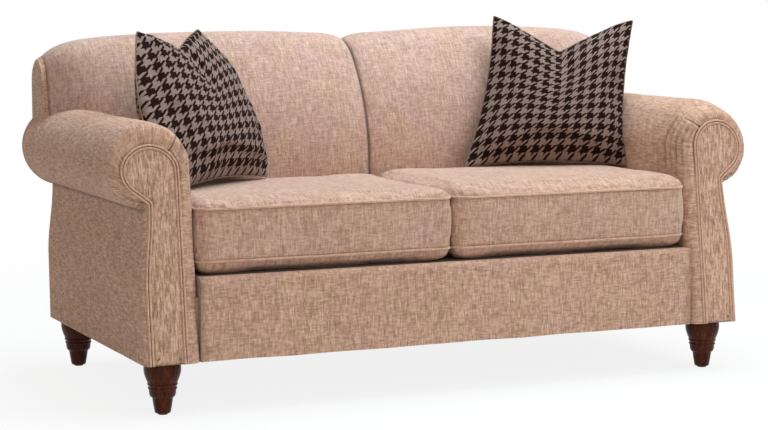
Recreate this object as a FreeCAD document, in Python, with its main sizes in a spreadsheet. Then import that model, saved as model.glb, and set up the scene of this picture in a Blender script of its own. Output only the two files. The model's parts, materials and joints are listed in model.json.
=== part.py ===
"""A two-seater sofa: rolled arms with piped facings, a tight back in two panels that rolls over the crest,
two loose box cushions, two scatter pillows and four turned feet, on a hardwood frame with sinuous springs.

Millimetres. +X runs to the right as seen from the front, +Y to the back, +Z up. The origin is on the floor
under the middle of the overall box. Left is -X. Each sub-part is one labelled object of the document.
"""
import FreeCAD, Part
import math
import os
import re

import Sketcher

Vector = FreeCAD.Vector

# The driving sizes. Every other length is worked out from these.
SIZES = {
    # Overall
    "depth_overall": 825,
    "body_half_width": 782,
    "underside_height": 123,
    # Arms: a roll on a nearly straight side that is drawn in at the neck
    "arm_thickness": 134,
    "roll_radius": 97,
    "roll_height": 562,
    "neck_inset": 16,
    "flare_height": 290,
    "arm_rake": 58,
    "arm_rake_rise": 450,
    "arm_pad": 24,
    "outside_panel": 9,
    "arm_edge_round": 24,
    # Arm facing, the piped panel on the front of each arm
    "facing_depth": 14,
    "facing_inset": 38,
    "scroll_radius": 63,
    "neck_fillet": 34,
    "facing_neck_margin": 15,
    "facing_foot_margin": 15,
    "facing_flare_height": 290,
    "welt_half_width": 5.5,
    "welt_proud": 5,
    "welt_groove": 1.4,
    "welt_groove_depth": 2.5,
    # Front rail with its padded cover
    "rail_setback": 10,
    "rail_cover_top": 314,
    "rail_pad": 16,
    "rail_edge_round": 13,
    "fabric_return": 6,
    # Hardwood frame
    "board_thickness": 25,
    "front_rail_height": 139,
    "side_rail_height": 120,
    "back_rail_height": 120,
    "centre_rail_height": 75,
    "spring_rail_height": 64,
    "spring_rail_depth": 168.5,
    "block_leg": 100,
    "block_height": 60,
    "slat_height": 60,
    "slat_thickness": 20,
    "slat_bottom": 290,
    "top_board_width": 100,
    "top_board_thickness": 18,
    "top_board_height": 596,
    # Back frame: posts with a raked front edge, and the rails between them
    "rear_lean": 32,
    "rear_rise": 637,
    "rear_overhang": 36,
    "outside_back_thickness": 6,
    "outside_back_top": 750,
    "outside_back_inset": 12,
    "post_foot_width": 75,
    "post_step_low": 270,
    "post_step_high": 325,
    "post_top": 780,
    "post_shoulder": 730,
    "post_top_width": 36,
    "web_foot_depth": 170,
    "web_run": 72,
    "web_rise": 405,
    "web_foot_height": 330,
    "crest_rail_height": 68,
    "tack_rail_height": 50,
    "lower_rail_height": 62,
    # Seat suspension
    "spring_count": 9,
    "spring_edge": 75,
    "spring_half_width": 25,
    "spring_pitch": 34,
    "spring_wire": 3.8,
    "spring_side_inset": 9,
    "clip_length": 22,
    "clip_width": 18,
    "clip_plate": 1.6,
    "tie_wire": 2.6,
    "deck_thickness": 10,
    "web_width": 50,
    "web_thickness": 1.5,
    "web_columns": 3,
    "web_margin": 6,
    # Inside back
    "back_depth": 300.5,
    "back_straight_top": 500,
    "crest_height": 850,
    "crest_radius": 105,
    "crest_seam_radius": 98,
    "seam_depth": 15,
    "seam_dip": 32,
    "seam_rear_dip": 4,
    "back_over_arm": 152,
    "end_setback": 188,
    "end_drop": 80,
    "end_radius": 45,
    "end_band": 13,
    "end_band_shrink": 7,
    # Turned feet
    "foot_side_inset": 61,
    "foot_front_reach": 73,
    "foot_rear_margin": 76,
    "foot_top_radius": 30,
    "bun_radius": 40,
    "bun_height": 44,
    "neck_radius": 25,
    "neck_height": 4,
    "ring_radius": 32,
    "ring_height": 34,
    "taper_top_radius": 21,
    "taper_foot_radius": 16.5,
    "foot_round": 3,
    "glide_radius": 11,
    "glide_height": 3,
    "bolt_radius": 4,
    "bolt_in_foot": 42,
    "bolt_in_frame": 30,
    "bolt_clearance": 0.3,
    "plate_side": 44,
    "plate_thickness": 2.5,
    "dust_hole_margin": 2,
    "dust_thickness": 1.5,
    # Seat cushions
    "cushion_front_reach": 34.5,
    "cushion_bottom_welt": 346,
    "cushion_boxing": 120,
    "cushion_crown": 34,
    "cushion_corner": 22,
    "cushion_draw_in": 3,
    "cushion_fabric": 12,
    "cushion_foam": 100,
    "cord_proud": 4,
    "cord_height": 9,
    "cord_edge": 1.4,
    # Scatter pillows
    "pillow_bottom_half": 208,
    "pillow_top_half": 181,
    "pillow_height": 418,
    "pillow_thickness": 128,
    "pillow_draw_in": 16,
    "pillow_dent": 92,
    "pillow_skew": 72,
    "pillow_skin": 3,
    # Where each pillow's lower edge lies: in from the arm and out from the back, its height off the floor,
    # its turn (run per rise) and its lean
    "pillow_right_from_arm": 218,
    "pillow_right_from_back": 131,
    "pillow_right_z": 495,
    "pillow_right_turn": -76,
    "pillow_right_lean": 108,
    "pillow_left_from_arm": 171,
    "pillow_left_from_back": 212,
    "pillow_left_z": 497.3,
    "pillow_left_turn": 182,
    "pillow_left_lean": 132,
    "pillow_turn_base": 235,
    # Clearances and cutting overrun
    "soft_clearance": 0.4,
    "seat_clearance": 0.3,
    "cut_overrun": 40,
}

# Sizes that follow from the driving ones, so that what belongs together keeps together.
FOLLOWING = {
    "arm_inner_half": "body_half_width - arm_thickness",
    "back_half_width": "arm_inner_half + back_over_arm",
    "foot_x": "body_half_width - foot_side_inset",
    "foot_spacing": "depth_overall - foot_front_reach - foot_rear_margin",
    "spring_rail_reach": "depth_overall - spring_rail_depth",
    "web_foot_reach": "depth_overall - web_foot_depth",
    "back_front_reach": "depth_overall - back_depth",
    "pillow_right_x": "arm_inner_half - pillow_right_from_arm",
    "pillow_left_x": "pillow_left_from_arm - arm_inner_half",
    "pillow_right_y": "depth_overall / 2 - back_depth - pillow_right_from_back",
    "pillow_left_y": "depth_overall / 2 - back_depth - pillow_left_from_back",
}
ALIASES = {**SIZES, **{alias: f"={formula}" for alias, formula in FOLLOWING.items()}}

document = FreeCAD.newDocument("two_seater_sofa")
sheet = document.addObject("Spreadsheet::Sheet", "dims")
for row, (alias, size) in enumerate(ALIASES.items(), start=1):
    sheet.set(f"A{row}", alias)
    sheet.set(f"B{row}", str(size))
    sheet.setAlias(f"B{row}", alias)
document.recompute()

subparts = []


def size_of(text):
    """The number that a formula of the sheet's names gives."""
    return float(sheet.evalExpression(text))


def bind(feature, target, text):
    """Binds a property to a formula, with each name of the sheet spelt in full."""
    names = "|".join(sorted(ALIASES, key=len, reverse=True))
    feature.setExpression(target, re.sub(rf"\b({names})\b", r"dims.\1", text))


def keep(feature, label):
    """Marks an object as a sub-part and gives it the name of its file."""
    feature.Label = label
    subparts.append(feature)
    return feature


def box(name, x, y, z):
    """A box between pairs of formulas along X, Y and Z."""
    block = document.addObject("Part::Box", name)
    for side, axis, (low, high) in zip(("Length", "Width", "Height"), "xyz", (x, y, z)):
        bind(block, side, f"({high}) - ({low})")
        bind(block, f"Placement.Base.{axis}", f"{low}")
    return block


def cylinder(name, radius, x, y, z_low, z_high):
    """An upright cylinder."""
    rod = document.addObject("Part::Cylinder", name)
    bind(rod, "Radius", radius)
    bind(rod, "Height", f"({z_high}) - ({z_low})")
    for axis, place in zip("xyz", (x, y, z_low)):
        bind(rod, f"Placement.Base.{axis}", f"{place}")
    return rod


def cut(name, base, *tools):
    """The base with every tool taken out of it."""
    for number, tool in enumerate(tools, start=1):
        result = document.addObject("Part::Cut", f"{name}_cut{number}")
        result.Base, result.Tool = base, tool
        base = result
    return base


def common(name, *shapes):
    """What the shapes share."""
    result = document.addObject("Part::MultiCommon", name)
    result.Shapes = list(shapes)
    return result


def mirrored(name, source):
    """The same piece on the other side of the sofa's middle."""
    twin = document.addObject("Part::Mirroring", name)
    twin.Source = source
    twin.Normal = Vector(1, 0, 0)
    return twin


def pair(source, label):
    """A right-hand piece and its mirror image, as two sub-parts."""
    keep(source, f"{label}_right")
    keep(mirrored(f"{label}_left", source), f"{label}_left")


def arc_through(start, end, radius):
    """The arc from start to end, turning left for a positive radius and right for a negative one."""
    chord = end - start
    half = chord.Length / 2
    rise = math.sqrt(max(radius * radius - half * half, 0.0))
    normal = Vector(-chord.y, chord.x, 0).normalize()
    centre = (start + end) * 0.5 + normal * math.copysign(rise, radius)
    first, last = (start, end) if radius > 0 else (end, start)
    angles = [math.atan2(point.y - centre.y, point.x - centre.x) for point in (first, last)]
    if angles[1] < angles[0]:
        angles[1] += 2 * math.pi
    circle = Part.Circle(centre, Vector(0, 0, 1), abs(radius))
    return Part.ArcOfCircle(circle, *angles)


def draw(sketch, path):
    """Fills a sketch with a closed outline: (x, y) ends a line and (x, y, radius) an arc, all formulas."""
    points = [Vector(size_of(corner[0]), size_of(corner[1]), 0) for corner in path]
    ends = []
    for number, corner in enumerate(path):
        start, end = points[number - 1], points[number]
        if len(corner) == 3:
            radius = size_of(corner[2])
            sketch.addGeometry(arc_through(start, end, radius), False)
            ends.append((1, 2) if radius > 0 else (2, 1))
        else:
            sketch.addGeometry(Part.LineSegment(start, end), False)
            ends.append((1, 2))
    for number, corner in enumerate(path):
        following = (number + 1) % len(path)
        here = ends[number][1]
        sketch.addConstraint(Sketcher.Constraint("Coincident", number, here, following, ends[following][0]))
    for number, corner in enumerate(path):
        here = ends[number][1]
        for kind, text, place in (("DistanceX", corner[0], points[number].x),
                                  ("DistanceY", corner[1], points[number].y)):
            index = sketch.addConstraint(Sketcher.Constraint(kind, -1, 1, number, here, place))
            title = f"{kind[-1].lower()}{number}"
            sketch.renameConstraint(index, title)
            bind(sketch, f"Constraints.{title}", text)
        if len(corner) == 3:
            rule = Sketcher.Constraint("Radius", number, abs(size_of(corner[2])))
            index = sketch.addConstraint(rule)
            sketch.renameConstraint(index, f"radius{number}")
            bind(sketch, f"Constraints.radius{number}", f"abs({corner[2]})")


FRONT_VIEW = FreeCAD.Rotation(Vector(1, 0, 0), 90)
SIDE_VIEW = FreeCAD.Rotation(Vector(1, 1, 1), 120)


def outline(name, view, path):
    """A sketch in the front view (X, Z), the side view (Y, Z) or, with no view, the plan (X, Y)."""
    sketch = document.addObject("Sketcher::SketchObject", name)
    if view:
        sketch.Placement = FreeCAD.Placement(Vector(), view)
    draw(sketch, path)
    return sketch


def prism(name, sketch, direction, low, high):
    """A sketch carried along a direction, from one formula to another."""
    solid = document.addObject("Part::Extrusion", name)
    solid.Base = sketch
    solid.DirMode = "Custom"
    solid.Dir = direction
    bind(solid, "LengthFwd", high)
    bind(solid, "LengthRev", f"-({low})")
    solid.Solid = True
    return solid


def plank(name, view, path, low, high):
    """An outline and the solid that it sweeps square to its own view."""
    direction = Vector(0, 0, 1)
    if view is FRONT_VIEW:
        direction = Vector(0, 1, 0)
    elif view is SIDE_VIEW:
        direction = Vector(1, 0, 0)
    return prism(name, outline(f"{name}_outline", view, path), direction, low, high)


# Places that many pieces share
FRONT = "(-depth_overall / 2)"
REAR = "(depth_overall / 2)"
FACE = f"({FRONT} + welt_proud)"
REAR_FOOT = f"({REAR} - rear_overhang)"
BED = "(underside_height + fabric_return)"
ROLL_X = "(arm_inner_half + roll_radius)"
PANEL_X = "(body_half_width - neck_inset - outside_panel)"
CAVITY_X = "(arm_inner_half + arm_pad)"
RAIL_FRONT = f"({FACE} + rail_setback + rail_pad)"
RAIL_BACK = f"({RAIL_FRONT} + board_thickness)"
SIDE_X = f"({PANEL_X} - board_thickness)"
POST_X = f"({SIDE_X} - board_thickness)"
SPRING_BED = f"({BED} + front_rail_height)"
DECK_TOP = "rail_cover_top"
DECK_BOTTOM = "(rail_cover_top - deck_thickness)"
SPRING_RAIL = f"({FRONT} + spring_rail_reach)"


def face_y(height, inset="0"):
    """Y of the arm's leaning front plane, or of a plane behind it."""
    return f"({FACE} + (({height}) - underside_height) * arm_rake / arm_rake_rise + ({inset}))"


def rear_y(height, inset="0"):
    """Y of the leaning rear plane, or of a plane in front of it."""
    return f"({REAR_FOOT} + (({height}) - underside_height) * rear_lean / rear_rise - ({inset}))"


def web_y(height, inset="0"):
    """Y of the plane that the back's webbing lies on, or of a plane in front of it."""
    foot = f"({FRONT} + web_foot_reach)"
    return f"({foot} + (({height}) - web_foot_height) * web_run / web_rise - ({inset}))"


def side_outline(name, front_inset, rear_inset):
    """A prism across the sofa between the leaning front and rear planes."""
    low = "(underside_height - cut_overrun)"
    high = "(crest_height + cut_overrun)"
    path = [(face_y(low, front_inset), low), (rear_y(low, rear_inset), low),
            (rear_y(high, rear_inset), high), (face_y(high, front_inset), high)]
    span = "(body_half_width + roll_radius + cut_overrun)"
    return plank(name, SIDE_VIEW, path, f"-{span}", span)


def front_slab(name, near, far):
    """A prism across the sofa between two planes that lie behind the arms' leaning front."""
    low = "(underside_height - cut_overrun)"
    high = "(crest_height + cut_overrun)"
    path = [(face_y(low, near), low), (face_y(low, far), low),
            (face_y(high, far), high), (face_y(high, near), high)]
    span = "(body_half_width + roll_radius + cut_overrun)"
    return plank(name, SIDE_VIEW, path, f"-{span}", span)


def flare(low_x, low_z, high_x, high_z, offset):
    """An S-bend between two upright lines, as its two arcs from the top down, moved out by offset."""
    run, drop = f"(({low_x}) - ({high_x}))", f"(({high_z}) - ({low_z}))"
    radius = f"(({run} * {run} + {drop} * {drop}) / (4 * {run}))"
    slope = f"({drop} / (2 * {radius}))"
    middle = (f"(({low_x}) + ({high_x})) / 2 + ({offset}) * sqrt(1 - {slope} * {slope})",
              f"(({low_z}) + ({high_z})) / 2 + ({offset}) * {slope}")
    foot = (f"({low_x}) + ({offset})", low_z, f"-({radius} + ({offset}))")
    return [(*middle, f"({radius} - ({offset}))"), foot]


NECK_X = "(body_half_width - neck_inset)"


def junction_z(x, radius):
    """Height at which a circle about the roll's axis comes down to an upright line."""
    return f"(roll_height - sqrt(({radius}) * ({radius}) - (({x}) - {ROLL_X}) * (({x}) - {ROLL_X})))"


def arm_profile(extra, bottom):
    """The arm from the front with its side panel, grown outwards by extra."""
    radius = f"(roll_radius + ({extra}))"
    neck = f"({NECK_X} + ({extra}))"
    joint = junction_z(neck, radius)
    inner = f"(arm_inner_half - ({extra}))"
    path = [(inner, bottom), (inner, "roll_height"), (ROLL_X, f"roll_height + {radius}", f"-{radius}"),
            (f"{ROLL_X} + {radius}", "roll_height", f"-{radius}"), (neck, joint, f"-{radius}")]
    path += flare("body_half_width", "flare_height", NECK_X, joint, extra)
    return path + [(f"body_half_width + ({extra})", bottom)]


def roll_profile(inset, bottom):
    """The roll and the inside arm from the front, drawn in by inset, as far out as the side panel."""
    radius = f"(roll_radius - ({inset}))"
    inner = f"(arm_inner_half + ({inset}))"
    return [(inner, bottom), (inner, "roll_height"), (ROLL_X, f"roll_height + {radius}", f"-{radius}"),
            (f"{ROLL_X} + {radius}", "roll_height", f"-{radius}"),
            (PANEL_X, junction_z(PANEL_X, radius), f"-{radius}"), (PANEL_X, bottom)]


def facing_profile(offset, bottom):
    """The facing from the front: a scroll over a neck that flares to the foot, moved out by offset."""
    inner = "(arm_inner_half + facing_inset)"
    centre = f"({inner} + scroll_radius)"
    neck = f"({NECK_X} - facing_neck_margin)"
    foot = "(body_half_width - facing_foot_margin)"
    run = f"({neck} + neck_fillet - {centre})"
    reach = "(scroll_radius + neck_fillet)"
    drop = f"sqrt({reach} * {reach} - {run} * {run})"
    neck_z = f"(roll_height - {drop})"
    radius = f"(scroll_radius + ({offset}))"
    path = [(f"{inner} - ({offset})", bottom), (f"{inner} - ({offset})", "roll_height"),
            (centre, f"roll_height + {radius}", f"-{radius}"),
            (f"{centre} + {radius}", "roll_height", f"-{radius}"),
            (f"{centre} + {radius} * {run} / {reach}",
             f"roll_height - {radius} * {drop} / {reach}", f"-{radius}"),
            (f"{neck} + ({offset})", neck_z, f"(neck_fillet - ({offset}))")]
    path += flare(foot, "facing_flare_height", neck, neck_z, offset)
    return path + [(f"{foot} + ({offset})", bottom)]


REACH = f"({FRONT} - cut_overrun)", f"({REAR} + cut_overrun)"


def faceted(rings):
    """A solid with flat three-sided facets through rings that have as many corners each."""
    faces = [Part.Face(Part.makePolygon(end + end[:1])) for end in (rings[0], rings[-1])]
    for first, second in zip(rings, rings[1:]):
        for here in range(len(first)):
            there = (here + 1) % len(first)
            for corners in ((first[here], first[there], second[there]),
                            (first[here], second[there], second[here])):
                faces.append(Part.Face(Part.makePolygon([*corners, corners[0]])))
    solid = Part.Solid(Part.Shell(faces))
    if solid.Volume < 0:
        solid.reverse()
    return solid


# Frame
def make_posts():
    """The back posts, cut from board with a raked front edge, each bored for its foot's bolt."""
    inset = "outside_back_thickness"
    foot = f"({rear_y(BED, inset)} - post_foot_width)"
    path = [(foot, BED), (rear_y(BED, inset), BED), (rear_y("post_shoulder", inset), "post_shoulder"),
            (f"{web_y('post_top')} + post_top_width", "post_top"), (web_y("post_top"), "post_top"),
            (web_y("post_step_high"), "post_step_high"), (foot, "post_step_low")]
    blank = plank("back_post_blank", SIDE_VIEW, path, POST_X, SIDE_X)
    bore = cylinder("back_post_bore", "bolt_radius + bolt_clearance", "foot_x", FOOT_BACK,
                    f"{BED} - cut_overrun", f"{BED} + bolt_in_frame")
    post = cut("back_post", blank, bore)
    pair(post, "back_post")
    return post


FOOT_FRONT = f"({FRONT} + foot_front_reach)"
FOOT_BACK = f"({FOOT_FRONT} + foot_spacing)"


def make_base_rails():
    """The rails that make the base: front, back, sides, centre and the one that the springs reach back to."""
    front = box("front_rail", (f"-{CAVITY_X}", CAVITY_X), (RAIL_FRONT, RAIL_BACK), (BED, SPRING_BED))
    keep(front, "front_rail")
    top = f"({BED} + back_rail_height)"
    inset = "outside_back_thickness"
    near = f"({inset} + board_thickness)"
    path = [(rear_y(BED, near), BED), (rear_y(BED, inset), BED),
            (rear_y(top, inset), top), (rear_y(top, near), top)]
    keep(plank("back_rail", SIDE_VIEW, path, f"-{POST_X}", POST_X), "back_rail")
    behind_board = "(facing_depth + board_thickness)"
    top = f"({BED} + side_rail_height)"
    path = [(face_y(BED, behind_board), BED), (rear_y(BED, inset), BED), (rear_y(top, inset), top),
            (face_y(top, behind_board), top)]
    pair(plank("side_rail", SIDE_VIEW, path, SIDE_X, PANEL_X), "side_rail")
    half = "(board_thickness / 2)"
    top = f"({BED} + centre_rail_height)"
    path = [(RAIL_BACK, BED), (rear_y(BED, near), BED), (rear_y(top, near), top), (RAIL_BACK, top)]
    keep(plank("centre_rail", SIDE_VIEW, path, f"-{half}", half), "centre_rail")
    keep(box("spring_rail", (f"-{SIDE_X}", SIDE_X), (SPRING_RAIL, f"{SPRING_RAIL} + board_thickness"),
             (f"{SPRING_BED} - spring_rail_height", SPRING_BED)), "spring_rail")


def make_corner_blocks():
    """Triangular blocks in the four corners of the base; the front pair is bored for the feet's bolts."""
    top = f"({BED} + block_height)"
    front = [(SIDE_X, RAIL_BACK), (SIDE_X, f"{RAIL_BACK} + block_leg"), (f"{SIDE_X} - block_leg", RAIL_BACK)]
    back_y = rear_y(BED, "outside_back_thickness + board_thickness")
    back = [(POST_X, back_y), (f"{POST_X} - block_leg", back_y), (POST_X, f"{back_y} - block_leg")]
    bore = cylinder("block_bore", "bolt_radius + bolt_clearance", "foot_x", FOOT_FRONT,
                    f"{BED} - cut_overrun", f"{BED} + bolt_in_frame")
    right = [cut("front_block", plank("front_block_blank", None, front, BED, top), bore),
             plank("back_block", None, back, BED, top)]
    group = document.addObject("Part::Compound", "corner_blocks")
    group.Links = right + [mirrored(f"{block.Name}_left", block) for block in right]
    keep(group, "corner_blocks")


def make_arm_frame(post):
    """The scrolled front board of each arm, its top board, its slat and the pad on the top board."""
    slab = front_slab("arm_board_slab", "facing_depth", "facing_depth + board_thickness")
    blank = plank("arm_board_blank", FRONT_VIEW, roll_profile("arm_pad", BED), *REACH)
    pair(common("arm_board", blank, slab), "arm_board")
    behind = side_outline("arm_inside", "facing_depth + board_thickness", "outside_back_thickness")
    slat = box("slat_blank", (CAVITY_X, f"{CAVITY_X} + slat_thickness"), REACH,
               ("slat_bottom", "slat_bottom + slat_height"))
    low, high = "(slat_bottom - cut_overrun)", "(slat_bottom + slat_height + cut_overrun)"
    post_front = plank("slat_end", SIDE_VIEW, [
        (web_y(low), low), (f"{REAR} + cut_overrun", low),
        (f"{REAR} + cut_overrun", high), (web_y(high), high)],
        CAVITY_X, POST_X)
    pair(cut("arm_slat", common("slat_long", slat, behind), post_front), "arm_slat")
    half = "(top_board_width / 2)"
    board = box("top_board_blank", (f"{ROLL_X} - {half}", f"{ROLL_X} + {half}"), REACH,
                ("top_board_height", "top_board_height + top_board_thickness"))
    pair(cut("arm_top_board", common("top_board_long", board, behind), post), "arm_top_board")
    pad_blank = plank("arm_pad_blank", FRONT_VIEW, roll_profile("arm_pad + soft_clearance", BED), *REACH)
    above = box("above_board", (CAVITY_X, f"{ROLL_X} + roll_radius"), REACH,
                ("top_board_height + top_board_thickness", "roll_height + roll_radius"))
    pair(cut("arm_roll_pad", common("pad_long", pad_blank, behind, above), post), "arm_roll_pad")


def make_back_rails():
    """The crest rail, the rail that the outside back is tacked to, the lower rail and the centre post."""
    low = "(post_top - crest_rail_height)"
    thick = "board_thickness"
    path = [(web_y(low), low), (f"{web_y(low)} + {thick}", low),
            (f"{web_y('post_top')} + {thick}", "post_top"),
            (web_y("post_top"), "post_top")]
    keep(plank("crest_rail", SIDE_VIEW, path, f"-{POST_X}", POST_X), "back_crest_rail")
    inset = "outside_back_thickness"
    low_tack = "(post_shoulder - tack_rail_height)"
    near = f"({inset} + {thick})"
    path = [(rear_y(low_tack, near), low_tack), (rear_y(low_tack, inset), low_tack),
            (rear_y("post_shoulder", inset), "post_shoulder"),
            (rear_y("post_shoulder", near), "post_shoulder")]
    keep(plank("tack_rail", SIDE_VIEW, path, f"-{POST_X}", POST_X), "back_tack_rail")
    bottom = "post_step_high"
    top = "(post_step_high + lower_rail_height)"
    path = [(web_y(bottom), bottom), (f"{web_y(bottom)} + {thick}", bottom), (f"{web_y(top)} + {thick}", top),
            (web_y(top), top)]
    keep(plank("lower_rail", SIDE_VIEW, path, f"-{POST_X}", POST_X), "back_lower_rail")
    path = [(web_y(top), top), (f"{web_y(top)} + post_top_width", top),
            (f"{web_y(low)} + post_top_width", low),
            (web_y(low), low)]
    keep(plank("centre_post", SIDE_VIEW, path, f"-{thick} / 2", f"{thick} / 2"), "back_centre_post")


# Suspension
WIRE_SIDES = 3


def wire_tube(points, radius):
    """A wire with flat facets along a bent line, mitred at each bend."""
    axis = (points[1] - points[0]).normalize()
    across = axis.cross(Vector(0, 0, 1)).normalize()
    up = across.cross(axis)
    ring = [points[0] + across * (radius * math.cos(turn)) + up * (radius * math.sin(turn))
            for turn in (2 * math.pi * side / WIRE_SIDES for side in range(WIRE_SIDES))]
    rings = [ring]
    for number in range(1, len(points)):
        before = (points[number] - points[number - 1]).normalize()
        after = (points[number + 1] - points[number]).normalize() if number + 1 < len(points) else before
        plane = before + after
        ring = [corner + before * ((points[number] - corner).dot(plane) / before.dot(plane))
                for corner in ring]
        rings.append(ring)
    return faceted(rings)


WIRE_END = f"({SPRING_BED} + clip_plate + soft_clearance + spring_wire / 2)"
WIRE_TOP = f"({DECK_BOTTOM} - soft_clearance - spring_wire / 2)"
SPRING_FRONT = f"({RAIL_BACK} - board_thickness / 2)"
SPRING_BACK = f"({SPRING_RAIL} + board_thickness / 2)"


def spring_places():
    """X of each spring's middle."""
    count = int(size_of("spring_count"))
    edge = size_of("arm_inner_half - spring_edge")
    return [edge * (2 * number / (count - 1) - 1) for number in range(count)]


def spring_height(share):
    """Height of the wire at a share of the spring's length: a shallow arch."""
    low, high = size_of(WIRE_END), size_of(WIRE_TOP)
    return low + (high - low) * (1 - (2 * share - 1) ** 2)


def make_springs():
    """Sinuous springs from the front rail to the spring rail: zigzags of wire arched under the deck."""
    start, end = size_of(SPRING_FRONT), size_of(SPRING_BACK)
    loops = round((end - start) / size_of("spring_pitch"))
    loops -= loops % 2
    half, inset = size_of("spring_half_width"), size_of("spring_side_inset")
    radius = size_of("spring_wire / 2")
    points = []
    for loop in range(loops + 1):
        hand = 1 if loop % 2 else -1
        share = loop / loops
        y = start + (end - start) * share
        points.append(Vector(hand * (half - inset), y, spring_height(share)))
        points.append(Vector(-hand * (half - inset), y, spring_height(share)))
        if loop < loops:
            share = (loop + 0.5) / loops
            points.append(Vector(-hand * half, start + (end - start) * share, spring_height(share)))
    spring = wire_tube(points, radius)
    group = document.addObject("Part::Feature", "seat_springs")
    group.Shape = Part.makeCompound([spring.translated(Vector(x, 0, 0)) for x in spring_places()])
    keep(group, "seat_springs")
    return loops


def make_spring_clips():
    """A steel clip over each spring's end bar, nailed to the top of its rail."""
    tunnel = size_of("spring_wire / 2 + soft_clearance")
    length, width = size_of("clip_length"), size_of("clip_width")
    middle = size_of(WIRE_END)
    base = size_of(SPRING_BED)
    top = middle + tunnel + size_of("clip_plate")
    overrun = size_of("cut_overrun")
    clips = []
    for y in (size_of(SPRING_FRONT), size_of(SPRING_BACK)):
        block = Part.makeBox(length, width, top - base, Vector(-length / 2, y - width / 2, base))
        corner = Vector(-length / 2 - overrun, y - tunnel, middle - tunnel)
        clips.append(block.cut(Part.makeBox(length + 2 * overrun, 2 * tunnel, 2 * tunnel, corner)))
    group = document.addObject("Part::Feature", "spring_clips")
    placed = [clip.translated(Vector(x, 0, 0)) for x in spring_places() for clip in clips]
    group.Shape = Part.makeCompound(placed)
    keep(group, "spring_clips")


TIE_SHARES = (0.34, 0.66)


def make_tie_wires(loops):
    """Straight wires across the springs, under them, that hold them in step."""
    start, end = size_of(SPRING_FRONT), size_of(SPRING_BACK)
    reach = size_of("arm_inner_half - spring_edge + spring_half_width")
    radius = size_of("tie_wire / 2")
    drop = size_of("spring_wire / 2 + soft_clearance + tie_wire / 2")
    wires = []
    for place in TIE_SHARES:
        share = (round(place * loops) + 0.5) / loops
        wire = Part.makeCylinder(radius, 2 * reach, Vector(-reach, start + (end - start) * share,
                                                           spring_height(share) - drop), Vector(1, 0, 0))
        wires.append(wire)
    group = document.addObject("Part::Feature", "spring_tie_wires")
    group.Shape = Part.makeCompound(wires)
    keep(group, "spring_tie_wires")


def make_webbing():
    """Elastic straps on the front of the back frame: upright ones, and level ones across them."""
    low, high = "post_step_high", "post_top"
    straps = []
    columns = int(size_of("web_columns"))
    for side in (-1, 1):
        for column in range(columns):
            middle = f"({side} * ({POST_X}) * {column + 1} / {columns + 1})"
            path = [(web_y(low, "web_thickness"), low), (web_y(low), low), (web_y(high), high),
                    (web_y(high, "web_thickness"), high)]
            straps.append(plank("web_upright", SIDE_VIEW, path, f"{middle} - web_width / 2",
                                f"{middle} + web_width / 2"))
    for foot in ("(roll_height - roll_radius - web_width)", "(roll_height + roll_radius + web_margin)"):
        head = f"({foot} + web_width)"
        path = [(web_y(foot, "2 * web_thickness"), foot), (web_y(foot, "web_thickness"), foot),
                (web_y(head, "web_thickness"), head), (web_y(head, "2 * web_thickness"), head)]
        straps.append(plank("web_level", SIDE_VIEW, path, f"-{SIDE_X}", SIDE_X))
    group = document.addObject("Part::Compound", "back_webbing")
    group.Links = straps
    keep(group, "back_webbing")


def make_deck():
    """The felt and cloth deck that the cushions lie on."""
    keep(box("seat_deck", ("-arm_inner_half", "arm_inner_half"), (RAIL_BACK, web_y(DECK_TOP, "0")),
             (DECK_BOTTOM, DECK_TOP)), "seat_deck")


# Upholstery
def make_rail_cover():
    """Padded cloth round the front rail, with a rounded top edge."""
    near, far = f"({FACE} + rail_setback)", RAIL_BACK
    top, low = "rail_cover_top", "underside_height"
    path = [(near, low), (far, low), (far, top), (f"{near} + rail_edge_round", top),
            (near, f"{top} - rail_edge_round", "rail_edge_round")]
    blank = plank("rail_cover_blank", SIDE_VIEW, path, "-arm_inner_half", "arm_inner_half")
    room = box("rail_room", ("-arm_inner_half - cut_overrun", "arm_inner_half + cut_overrun"),
               (RAIL_FRONT, f"{RAIL_BACK} + cut_overrun"), (BED, SPRING_BED))
    clips = box("clip_room", ("-arm_inner_half - cut_overrun", "arm_inner_half + cut_overrun"),
                (f"{SPRING_FRONT} - clip_width / 2 - soft_clearance", f"{RAIL_BACK} + cut_overrun"),
                (SPRING_BED, DECK_BOTTOM))
    keep(cut("front_rail_cover", blank, room, clips), "front_rail_cover")


# How the arm's front edge rounds over: how far drawn in and how far behind the front, as shares of the round
ROUND_SHARES = ((1.0, 0.0), (0.62, 0.08), (0.29, 0.29), (0.08, 0.62), (0.0, 1.0))


ROLL_STEPS = 15


def arm_ring(inset, place):
    """Corners of the roll and the inside arm in a plane that gives Y from Z, drawn in by inset."""
    radius = size_of("roll_radius") - inset
    inner, side = size_of("arm_inner_half") + inset, size_of(PANEL_X)
    middle_x, middle_z = size_of(ROLL_X), size_of("roll_height")
    last = -math.acos((side - middle_x) / radius)
    turns = [math.pi + (last - math.pi) * step / ROLL_STEPS for step in range(ROLL_STEPS + 1)]
    corners = [(middle_x + radius * math.cos(turn), middle_z + radius * math.sin(turn)) for turn in turns]
    corners += [(side, size_of("underside_height")), (inner, size_of("underside_height"))]
    return [Vector(x, size_of(place(z)), z) for x, z in corners]


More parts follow.
